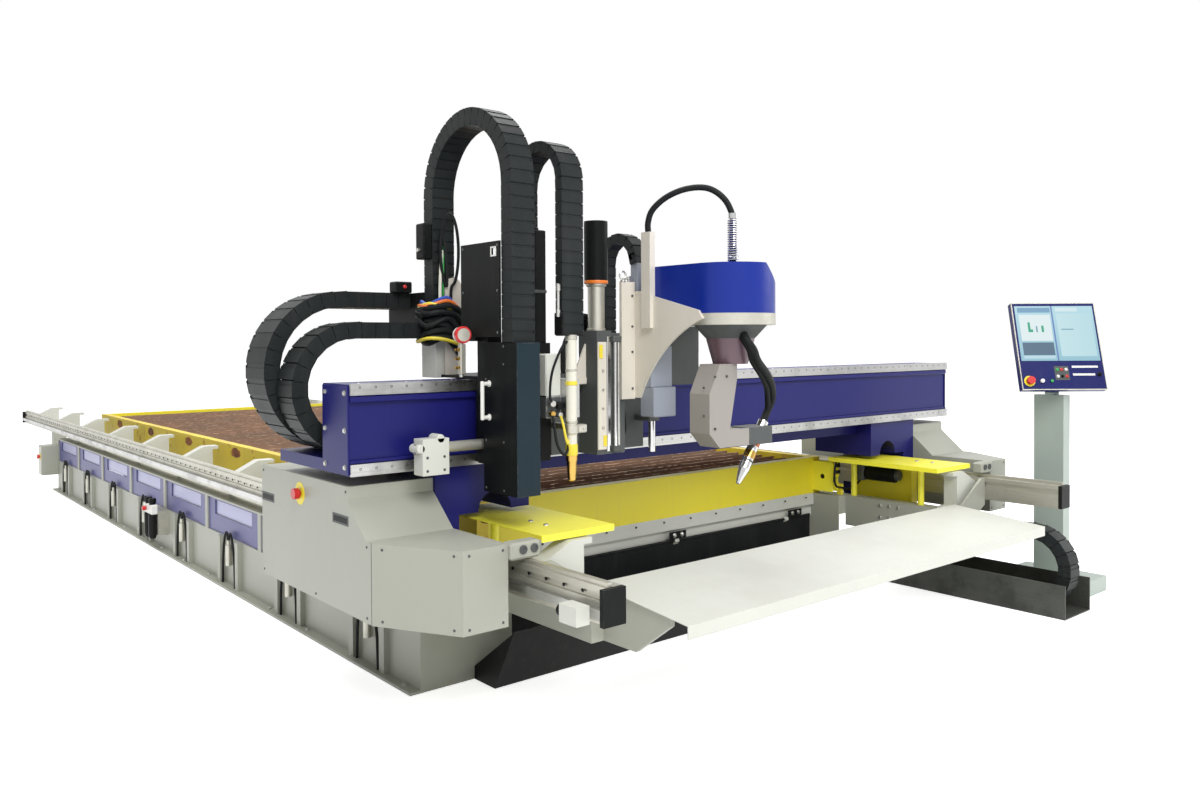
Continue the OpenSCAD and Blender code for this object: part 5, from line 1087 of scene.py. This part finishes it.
def oxy_trim():
    """Sleeve, bands, tip, clamp, valve box and small hoses of the oxy-fuel torch."""
    x, y, clamp_z = -1300.0, -4470.5, 1088
    made = Piece("oxy_torch_sleeve")
    for z, outline, coat in (
            (904, [(9, 0), (15, 4), (18, 34), (20, 74), (23, 84), (23, 100)], "brass"),
            (1003, [(22.4, 0), (24, 3), (24, 42), (22, 46)], "cable_yellow"),
            (1049, [(21.6, 0), (21.6, 222), (21.4, 422)], "cream")):
        made.lathe((x, y, z), UP, outline, coat, 24)
    for z, tall, coat in ((1128, 10, "alloy"), (1276, 16, "cable_yellow"), (1330, 8, "alloy"),
                          (1452, 18, "alloy")):
        made.lathe((x, y, z), UP, [(22, 0), (23.6, 1.5), (23.6, tall - 1.5), (22, tall)], coat, 24)
    made.lathe((x, y, clamp_z), UP, [(25, 0), (28, 3), (28, 33), (25, 36)], "alloy", 24)
    made.slab((x + 22, y - 17, clamp_z + 2), (x + 66, y + 17, clamp_z + 34), "alloy", 4)
    made.slab((x + 36, y + 10, clamp_z + 6), (x + 60, y + 180, clamp_z + 30), "alloy", 3)
    made.on("oxy_head", "rail_alloy")
    bolts("oxy_clamp_bolts", "oxy_head", [(x + 50, y - 17, clamp_z + 18), (x + 66, y, clamp_z + 18)],
          [FRONT, RIGHT], "cap", 0.9)
    box = Piece("oxy_valve_box")
    box.slab((-1392, -4430.5, 1232), (-1318, -4366, 1398), "pale", 5)
    box.slab((-1391.5, -4429.8, 1148.5), (-1318.5, -4366.5, 1232), "dark_grey", 4)
    left_valve, right_valve, valve_y = -1374, -1338, -4429
    for vx, z, r, coat in ((left_valve, 1206, 13, "zinc"), (right_valve, 1198, 15, "black"),
                           (left_valve, 1168, 11, "brass"), (right_valve, 1162, 11, "zinc")):
        box.lathe((vx, valve_y, z), FRONT, [(r * 0.6, 0), (r * 0.6, 8), (r, 9), (r, 24), (r * 0.8, 27)], coat, 14)
    box.on("oxy_head", "pale_paint")
    pipes = Piece("oxy_small_hoses")
    pipes.tube([(left_valve, -4448, 1168), (-1380, -4466, 1120), (-1372, -4474, 1050), (-1344, -4478, 1010),
                (-1322, -4476, 1030), (-1316, -4472, 1072)], 5.5, "rubber", 8, 5)
    pipes.tube([(right_valve, -4448, 1162), (-1346, -4476, 1130), (-1340, -4484, 1080), (-1328, -4482, 1052),
                (-1318, -4474, 1066)], 5.0, "cable_yellow", 8, 5)
    pipes.tube([(left_valve, -4448, 1206), (-1396, -4460, 1240), (-1392, -4470, 1330), (-1350, -4474, 1420),
                (-1318, -4472, 1446)], 5.0, "rubber", 8, 5)
    pipes.on("oxy_head", "hose_rubber")
    foot, foot_z = Piece("oxy_chain_foot"), box_of("oxy_torch")[1].z
    foot.slab((-1346, -4486, foot_z - 2), (-1240, -4436, foot_z + 0.2), "black", 0.8)
    foot.slab((-1352, -4482, foot_z), (-1343.2, -4430, foot_z + 86), "black", 3)
    foot.lathe((-1356, -4462, foot_z + 70), UP,
               [(9, 0), (9, 26), (6, 30), (6, 96), (9, 100), (9, 124), (5, 128)], "zinc", 12)
    foot.on("oxy_head", "black_paint")


def gas_gauge():
    """The gauge on its pipe behind the plasma station, with a block of small fittings."""
    made, pipe_x, pipe_y, block_x = Piece("gas_gauge"), -1596, -4150, -1622
    made.rod((pipe_x, pipe_y, 1306), (pipe_x, pipe_y, 1462), 9, "zinc", 14)
    centre, facing = Vector((-1598, -4140, 1473)), Vector((-0.2, -1.0, 0.0))
    made.lathe(centre, facing, [(12, -42), (12, -6), (20, 0), (31, 6), (31, 34), (30, 36)], "white_plastic", 28)
    made.lathe(centre, facing, [(31.4, 26), (33.5, 28), (33.5, 44), (29, 48), (26, 47)], "red", 28)
    made.lathe(centre, facing, [(25.5, 44), (25.5, 47.4), (6, 48.2), (5, 50), (0, 50)], "alloy", 28)
    made.slab((block_x, -4188, 1318), (block_x + 24, -4164, 1438), "alloy", 3)
    for z in (1345, 1380, 1415):
        made.lathe((block_x, -4176, z), LEFT, [(7, 0), (7, 8), (5, 9), (5, 18)], "brass", 10)
    made.on("torch_slide", "rail_alloy")


def carriage_back():
    """Plates and switch boxes behind the plasma station."""
    plate, x, y, round_z, radius = Piece("back_plate"), -1464.5, -3878, 1676, 40.5
    rim = arc((x, y, round_z), RIGHT, UP, radius, math.pi, 12)
    plate.plate(rim + [(x - radius, y, 1306), (x + radius, y, 1306)], (0, 8, 0), "beige")
    plate.slab((-1538.5, -3854, 1294), (-1442.5, -3738.5, 1449), "pale", 0.8)
    plate.on("torch_slide", "pale_paint")
    box = Piece("chain_switch_box")
    box.slab((-1592, -3851, 1792), (-1549.8, -3786, 1942), "black", 5)
    box.slab((-1640, -3702, 1655.5), (-1562, -3640, 1704), "black", 5)
    box.lathe((-1592, -3818, 1830), LEFT, [(9, 0), (9, 10), (6, 12)], "zinc", 12)
    box.lathe((-1600, -3702, 1682), FRONT, [(8, 0), (8, 6), (5, 8)], "red", 12)
    box.on("torch_slide", "black_paint")


def carriage_cables():
    """The bundle where the tray chains end, and the loops that rise from it to the plasma chain."""
    wires, chance, slack = Piece("cable_bundle"), random.Random(7), 16
    rows = [("rubber", 1452), ("rubber", 1470), ("cable_yellow", 1462), ("rubber", 1488), ("rubber", 1506),
            ("rubber", 1524), ("rubber", 1542), ("rubber", 1560), ("rubber", 1576), ("cable_blue", 1590),
            ("cable_orange", 1600), ("rubber", 1586), ("cable_blue", 1608), ("cable_yellow", 1596),
            ("rubber", 1478), ("rubber", 1512)]
    for k, (coat, z) in enumerate(rows):
        thick = coat == "rubber"
        out = 9 * (k % 3) + (0 if thick else 8)
        a, b, c, d = (chance.uniform(-slack, slack) for _ in range(4))
        wires.tube([(-1540, -3770 + 22 * (k % 4), z), (-1566 - out, -3800, z + a),
                    (-1568 - out + b / 2, -3862 - out, z + b), (-1524 + c, -3890 - out, z + c + 8),
                    (-1470, -3896 - out, z - 12 + d), (-1438, -3882 - out + a / 2, z - 40 + 2 * b)],
                   13 if thick else 8, coat, 8, 4)
    wires.on("torch_slide", "hose_rubber")
    loop, ring = Piece("cable_loop"), []
    for k in range(15):
        turn = math.radians(-80 + 330 * k / 14)
        ring.append((-1490 + 34 * math.cos(turn), -3890 - 16 * math.cos(turn), 1826 + 158 * math.sin(turn)))
    loop.tube([(-1478, -3880, 1500), (-1482, -3886, 1590)] + ring + [(-1496, -3876, 1760), (-1500, -3856, 1900)],
              6.5, "rubber", 8, 4)
    loop.tube([(-1516, -3880, 1490), (-1530, -3880, 1600), (-1524, -3872, 1720), (-1508, -3860, 1830)], 7,
              "cream", 8, 4)
    loop.tube([(-1500, -3872, 1496), (-1512, -3874, 1640), (-1506, -3866, 1760), (-1498, -3858, 1880)], 4,
              "green", 8, 4)
    loop.on("torch_slide", "hose_rubber")


def lift_motors():
    """Caps and bands of the lift motors on the stations."""
    made, x, y, top = Piece("oxy_lift_motor"), -1309, -4234, box_of("torch_carriage")[1].z
    made.slab((x - 28, y - 53.8, 1438), (x + 28, y + 53.8, top + 2), "black", 6)
    made.lathe((x, y, top + 1), UP, [(24, 0), (24, 14), (14, 18), (14, 44), (10, 50), (0, 50)], "black", 20)
    made.slab((x - 29.5, y - 56, 1640), (x + 29.5, y + 55, 1652), "dark_grey", 2)
    made.on("torch_slide", "black_paint")
    motor, x, y = Piece("bevel_lift_motor"), -975.0, -4232.8
    motor.lathe((x, y, 1690), UP, [(50.5, 0), (51.5, 2), (51.5, 12), (50.5, 14)], "orange", 32)
    motor.lathe((x, y, 1704), UP, [(50.8, 0), (51.2, 20), (51.2, 236), (50.8, 252)], "black", 32)
    motor.lathe((x, y, 1490), UP, [(40, 0), (40, 8), (36, 10), (36, 186), (44, 192), (44, 200)], "alloy", 28)
    motor.on("bevel_slide", "black_paint")


# Bevel station

def bevel_trim():
    """Band, hood, motor covers and fasteners of the bevel head."""
    x, y, low_z = TURRET_X, TURRET_Y, box_of("bevel_housing")[0].z
    radius, band_back, band_z = 186.5, -4413.0, low_z - 0.2
    band = Piece("head_band")
    rim = arc((x, y, band_z), RIGHT, FRONT, radius, math.pi, 24)
    band.plate(rim + [(x - radius, band_back, band_z), (x + radius, band_back, band_z)], (0, 0, 47), "alloy")
    band.ring((x + 18, y, 1953), (x + 18, y, 1976), 21, 7, "chrome", 24)
    band.on("bevel_head", "rail_alloy")
    hood = Piece("turret_hood")
    hood.lathe((x, y, 1349), UP, [(73.5, 0), (74, 4), (101.5, 106.5)], "cone", 40)
    hood.lathe((x, y, 1455.4), UP, [(101.5, 0), (104, 2), (151.5, 53.4)], "dark_grey", 40)
    hood.slab((-562, y - 57.1, 1008.8), (-413, y + 57.1, 1081.2), "dark_grey", 3)
    hood.on("bevel_turret", "cover_plastic")
    arm_x, arm_y = box_of("bevel_arm")[0].x, -4730.5
    bolts("arm_bolts", "bevel_turret", [(arm_x, -4700, z) for z in (1256, 1142)] +
          [(px, arm_y, z) for px, z in ((-770, 1300), (-700, 1300), (-770, 1090))],
          [LEFT] * 2 + [FRONT] * 3, "cap", 0.8, "dark_grey")
    box = Piece("head_motor_cover")
    box.slab((-800, -4408, 1118), (-668, -4318, 1246), "slate", 5)
    box.slab((-800, -4392, 1244), (-676, -4318, 1424), "slate", 4)
    box.slab((-690, -4390, 1252), (-505, -4330, 1509), "dark_grey", 5)
    box.slab((-801.2, -4307.2, 1558.5), (-739.8, -4259.4, 1785.0), "slate", 3)
    box.on("bevel_head", "head_paint")


def lifting_eye():
    """The lifting eye on the bevel bracket, and the cap screws of its cheek."""
    eye, x, y, z = Piece("lifting_eye"), -874, -4292, 1728
    eye.tube(arc((x, y, z), RIGHT, UP, 17, math.tau, 20), 4.5, "zinc", 8)
    eye.lathe((x, y, 1699.5), UP, [(13, 0), (13, 5), (8, 7), (8, 14)], "zinc", 12)
    eye.slab((-846, y - 7.4, 1699), (-824, y + 6.8, 1726), "zinc", 2)
    eye.rod((-824, y, 1714), (-858, y, 1714), 6, "zinc", 12)
    eye.on("bevel_head", "machined_steel")
    bolts("cheek_bolts", "bevel_head", [(-828, -4299.8, z) for z in (1240, 1398, 1508, 1640)], FRONT, "cap", 0.8,
          "dark_grey")


def torch_bands():
    """The bands round the bevel torch, along its lean."""
    lean = math.radians(33)
    way, tip = Vector((-math.sin(lean), 0, -math.cos(lean))), Piece("bevel_torch_bands")
    pivot = Vector((-440, TURRET_Y, 1045))
    for start, length, coat in ((36, 26, "copper"), (86, 34, "brass"), (128, 8, "dark_grey")):
        tip.lathe(pivot + way * start, way, [(24.2, 0), (25.4, 1.5), (25.4, length - 1.5), (24.2, length)], coat,
                  28)
    tip.on("bevel_tip", "machined_steel")


def bevel_slide_trim():
    """Plates, guide rods, gusset and cables on the bevel carriage."""
    made, plate_y, rods_low, rods_high = Piece("bevel_slide_plates"), -4283, 990, 1450
    made.slab((-1014, plate_y - 10, 985), (-966, plate_y, 1442), "beige", 3)
    made.slab((-960, plate_y - 6, 975), (-942, plate_y, 1466), "chrome", 2)
    for z in (972, 1440):
        made.slab((-938, plate_y - 23, z), (-893, plate_y, z + 28), "dark_grey", 3)
    made.rod((-924, plate_y - 14, rods_low), (-924, plate_y - 14, rods_high), 8, "chrome", 16)
    made.rod((-904, plate_y - 12, rods_low), (-904, plate_y - 12, rods_high), 6.5, "zinc", 14)
    for x, low, high in ((-1010, 1372, 1430), (-988, 1000, 1046)):
        made.slab((x, plate_y - 12.5, low), (x + 20, plate_y - 8, high), "cable_yellow", 1)
    made.plate([(-1086, -4212, 1290), (-1012, -4212, 1290), (-1012, -4212, 1440)], (0, 10, 0), "beige")
    made.slab((-1092, -4216, 1262), (-1010, -4198, 1292), "beige", 3)
    made.slab((-692, -4262, 1086), (-628, -4158, 1112), "dark_grey", 4)
    made.rod((-660, -4242, 948), (-660, -4242, 1090), 16, "chrome", 20)
    made.on("bevel_slide", "pale_paint")
    bolts("bevel_slide_bolts", "bevel_slide", [(-990, plate_y - 10, z) for z in (1080, 1160, 1240, 1320)], FRONT,
          "cap", 0.9)
    wires = Piece("bevel_slide_cables")
    for k in range(4):
        d = 13 * k
        wires.tube([(-792 + d, -4052, 1420), (-800 + d, -4040, 1330 - d), (-850, -4060 - d, 1352 + d),
                    (-930, -4100 - d, 1506 + d), (-1010, -4120 - d / 2, 1496 + d), (-1062 - d / 2, -4140, 1420),
                    (-1068 - d / 2, -4143, 1284)], 9, "rubber", 8, 5)
    for k in range(3):
        x = -852 + 11 * k
        wires.tube([(x, -4230, 1180), (x, -4250, 1120), (x, -4246, 1040), (-850 + 10 * k, -4160, 1000)], 5.5,
                   "rubber", 8, 5)
    wires.on("bevel_slide", "hose_rubber")


# Rails and plenum

def rail_trim():
    """Stop blocks, screws along the rails, and the wiper blocks of the gantry shoes."""
    rail_x, stop_x = box_of("travel_rails")[1].x, box_of("rail_ends")[1].x
    shoe_y, leg_x = -4622, 1265
    stops, shoes = Piece("rail_stop_blocks"), Piece("shoe_wipers")
    for side, _ in SIDES:
        stops.slab((side * (stop_x + 1), -5003.5, 534), (side * (stop_x - 54.5), -4912, 596), "pale", 0.8)
        shoes.slab((side * 1691, shoe_y, 677), (side * 1562, shoe_y + 62, 738), "grey", 8)
        for x in (1640, 1592):
            shoes.lathe((side * x, shoe_y, 712), FRONT, [(16, -1), (16, 5), (11, 6), (9, 2), (0, 2)], "dark_grey",
                        18)
    stops.on("table", "pale_paint")
    shoes.on("gantry", "pale_paint")
    for side, word in SIDES:
        spots = [(side * rail_x, y, 627) for y in stations(-5034, 4900, 100)]
        bolts("rail_screws_" + word, "table", spots, (side, 0, 0), "flush", 1.3, "black")
        spots = [(side * leg_x, y, z) for y in (-4270, -4210, -4150, -4600, -4660) for z in (470, 400)]
        bolts("outrigger_bolts_" + word, "table", spots, (-side, 0, 0), "hex", 1.2)
    spots = [(-1670, y, 12) for y in stations(-3800, 3150, 15)]
    bolts("floor_bolts", "table", spots, UP, "hex", 1.3)


def plenum_trim():
    """Air service unit, rear switch box, and scorched patches on the table's left side."""
    made = Piece("air_service_unit")
    made.slab((-1764, -424, 266), (-1719, -236, 332), "white_plastic", 6)
    for y in (-384, -290):
        made.lathe((-1744, y, 267), (0, 0, -1), [(24, 0), (28, 4), (28, 140), (20, 166), (8, 174), (0, 174)],
                   "black", 20)
        made.lathe((-1744, y, 331), UP, [(20, 0), (20, 12), (24, 14), (24, 40), (18, 44), (0, 44)], "plastic", 18)
    made.lathe((-1764, -300, 300), LEFT, [(13, 0), (16, 4), (16, 22), (10, 26), (0, 26)], "red", 16)
    made.on("table", "pale_paint")
    box, lid_x, stop_y, stop_z = Piece("rear_switch_box"), -1795, 3300, 330
    box.slab((-1792, 3250.5, 146), (-1640, 3402, 436), "grey", 6)
    box.slab((lid_x, 3262, 158), (-1791, 3390, 424), "pale", 2)
    box.lathe((lid_x, stop_y, stop_z), LEFT, [(34, 0), (34, 2)], "yellow", 24)
    box.lathe((lid_x - 2, stop_y, stop_z), LEFT, [(15, 0), (15, 10), (22, 12), (22, 22), (18, 26), (0, 26)], "red",
              20)
    box.on("table", "grey_paint")
    marks, chance, rim_count = Piece("scorched_patches"), random.Random(4), 24
    for k in range(7):
        y, rim = -3767.5 + 1050 * k, []
        for s in range(rim_count):
            turn, reach = 2 * math.pi * s / rim_count, 0.86 + 0.22 * chance.random()
            rim.append((-1255.6, y + 92 * reach * math.cos(turn), 668 + 34 * reach * math.sin(turn)))
        marks.plate(rim, (-1.2, 0, 0), "rust_dark")
    marks.on("table", "rusty_plate")


# Front of the table

def front_trim():
    """Deck bolts, curtain hinges and the bolts of the crossbeam."""
    deck_top, beam_y, hinge_z = box_of("deck_plates")[1].z, -3736.5, 405
    spots = [(side * 1385, y, deck_top) for side, _ in SIDES for y in (-4315, -4415)]
    bolts("deck_bolts", "table", spots, UP, "dome", 1.6)
    hinges, spots, plate_y = Piece("curtain_hinges"), [], -3743
    for x in (-990, 0, 990):
        hinges.slab((x - 62, plate_y, hinge_z - 19), (x + 62, beam_y + 1, hinge_z + 19), "black", 2)
        spots += [(x - 28, plate_y, hinge_z), (x + 28, plate_y, hinge_z)]
    hinges.on("table", "black_paint")
    bolts("hinge_bolts", "table", spots, FRONT, "hex", 1.3)
    spots = [(x, beam_y, 482) for x in stations(-1100, 1100, 12)]
    bolts("crossbeam_bolts", "table", spots, FRONT, "cap", 0.9, "dark_grey")


def scoop_drive():
    """The scoop's drive under the right deck: yellow frame, motor, gearbox, small switches and their cable."""
    made, motor_x, motor_z = Piece("scoop_drive_frame"), 1372, 640
    made.slab((1418, -4276, 462), (1426, -3852, 727), "yellow", 2)
    made.slab((1392, -4278, 462), (1450, -4270, 727), "yellow", 2)
    made.rod((motor_x, -4186, motor_z), (motor_x, -3990, motor_z), 46, "black", 28, 5)
    made.slab((1322, -3992, 592), (1419, -3906, 690), "dark_grey", 5)
    made.rod((motor_x, -4186, motor_z), (motor_x, -4214, motor_z), 30, "dark_grey", 24, 3)
    made.slab((1256, -3884, 452), (1276, -3848, 566), "yellow", 2)
    made.slab((1200, -3872, 610), (1252, -3858, 696), "yellow", 3)
    for z in (632, 670):
        made.slab((1206, -3884, z), (1246, -3871, z + 20), "black", 2)
    made.on("table", "yellow_paint")
    wires = Piece("scoop_drive_cable")
    wires.tube([(1238, -3878, 690), (1222, -3890, 712), (1194, -3892, 706), (1180, -3890, 660), (1182, -3888, 590),
                (1206, -3886, 556), (1250, -3888, 546), (1310, -3896, 532), (1340, -3930, 560),
                (1350, -3960, 600)], 6.5, "rubber", 10, 5)
    wires.on("table", "hose_rubber")


# Console

def console_trim():
    """The display, edge strips, button rows and slots on the console's face."""
    yaw, tilt = math.radians(40), math.radians(18)
    right = Vector((math.cos(yaw), -math.sin(yaw), 0))
    out = Vector((-math.sin(yaw) * math.cos(tilt), -math.cos(yaw) * math.cos(tilt), math.sin(tilt)))
    up = out.cross(right)
    low, high = box_of("console_screen")
    centre = (low + high) / 2 - up * 75 - out * 1.5
    place = Matrix.Translation(centre) @ Matrix((right, up, out)).transposed().to_4x4()
    half, bottom, top = 225, -90, 240
    glass = Piece("console_display")
    glass.slab((-half, bottom, 0.0), (half, top, 3.0), "screen", 0.4, place)
    glass = glass.thing()
    back, layer = place.inverted(), glass.data.uv_layers.new(name="face")
    for loop in glass.data.loops:
        spot = back @ (glass.data.vertices[loop.vertex_index].co / MM)
        layer.data[loop.index].uv = ((spot.x + half) / (2 * half), (spot.y - bottom) / (top - bottom))
    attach(glass, "console")
    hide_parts("console_screen")
    made, edge_x, edge_y, strip = Piece("console_face"), 240.6, 260.6, 4.6
    for a, b in (((-edge_x, -edge_y), (strip - edge_x, edge_y)), ((edge_x - strip, -edge_y), (edge_x, edge_y)),
                 ((strip - edge_x, -edge_y), (edge_x - strip, strip - edge_y)),
                 ((strip - edge_x, edge_y - strip), (edge_x - strip, edge_y))):
        made.slab((*a, -7), (*b, 0.8), "alloy", 0.6, place)
    for a, b in (((56, -132), (204, -120)), ((56, -178), (182, -166))):
        made.slab((*a, -1), (*b, 1.4), "white_plastic", 0.6, place)
    made.slab((-46, -204, -1), (36, -122, 0.8), "dark_grey", 0.6, place)
    rows = ((-142, ("green", "red", "white_plastic")), (-182, ("white_plastic", "black", "red")))
    for y, coats in rows:
        for x, coat in zip((-30, -5, 20), coats):
            made.lathe(place @ Vector((x, y, 0.8)), out,
                       [(9, -0.5), (9, 3), (7, 3.4), (6.6, 7), (5, 8.4), (0, 8.8)], coat, 16)
    made.lathe(place @ Vector((206, -172, 0)), out, [(13, -0.5), (13, 3), (9, 4), (8.4, 16), (6, 18), (0, 18)],
               "black", 18)
    made.on("console", "black_paint")
    ring, spot = Piece("console_stop_ring"), place @ Vector((-195, -210, 0))
    ring.ring(spot - out * 0.5, spot + out * 1.8, 31, 17, "yellow", 32)
    ring.on("console", "yellow_paint")


# Stage and light

WHITE = (1.0, 1.0, 1.0, 1.0)


def looked_at(tree):
    """1 where a ray shows a surface to the eye, 0 where it only brings light to another."""
    ray = put(tree, "ShaderNodeLightPath").outputs
    return larger(tree, larger(tree, ray["Is Camera Ray"], ray["Is Glossy Ray"]), ray["Is Transmission Ray"])


def white_floor():
    """A wide floor that looks white and gives off little light of its own."""
    reach, drop, glow = 70.0, 0.002, 0.7
    floor = bpy.data.meshes.new("floor")
    floor.from_pydata([(-reach, -reach, 0), (reach, -reach, 0), (reach, reach, 0), (-reach, reach, 0)], [],
                      [(0, 1, 2, 3)])
    made = bpy.data.objects.new("floor", floor)
    made.location.z = -drop
    scene.collection.objects.link(made)
    coat, tree, shader = new_finish("floor_white")
    feed(tree, shader, Base_Color=(0.86, 0.86, 0.86, 1.0), Roughness=0.9, Specular_IOR_Level=0.0,
         Emission_Color=WHITE, Emission_Strength=times(tree, looked_at(tree), glow))
    floor.materials.append(coat)


def white_room():
    """A white background that is dimmer where it only lights the part."""
    dim = 0.55
    world = bpy.data.worlds.new("studio")
    world.use_nodes = True
    scene.world = world
    tree = world.node_tree
    level = put(tree, "ShaderNodeMapRange", None, _0=looked_at(tree), _1=0.0, _2=1.0, _3=dim, _4=1.0).outputs[0]
    feed(tree, tree.nodes["Background"], Color=WHITE, Strength=level)


def lamp(name, place, target, size, power):
    """An area light at a place, turned to a target."""
    data = bpy.data.lights.new(name, "AREA")
    data.shape = "RECTANGLE"
    data.size, data.size_y = size
    data.energy = power
    holder = bpy.data.objects.new(name, data)
    holder.location = place
    holder.rotation_euler = (Vector(target) - Vector(place)).to_track_quat("-Z", "Y").to_euler()
    scene.collection.objects.link(holder)


for make in (tray_chains, floor_chain, slat_bed, hoses, second_torch_hose, guard_spring, beam_trim, cover_trim,
             tie_and_clamp, plasma_trim, oxy_trim, gas_gauge, carriage_back, carriage_cables, lift_motors,
             bevel_trim, lifting_eye, torch_bands, bevel_slide_trim, rail_trim, plenum_trim, front_trim,
             scoop_drive, console_trim, white_floor, white_room):
    make()

lamp("key", (-3.8, -11.5, 8.5), (0.0, -2.5, 0.6), (6.0, 6.0), 940.0)
lamp("top", (0.5, 0.0, 9.0), (0.0, -0.5, 0.0), (7.0, 10.0), 760.0)
lamp("fill", (8.0, -9.0, 4.5), (0.0, -4.0, 0.8), (5.0, 4.0), 260.0)
scene.view_settings.view_transform = "Standard"

for spare in TEMPLATES:
    bpy.data.objects.remove(spare)
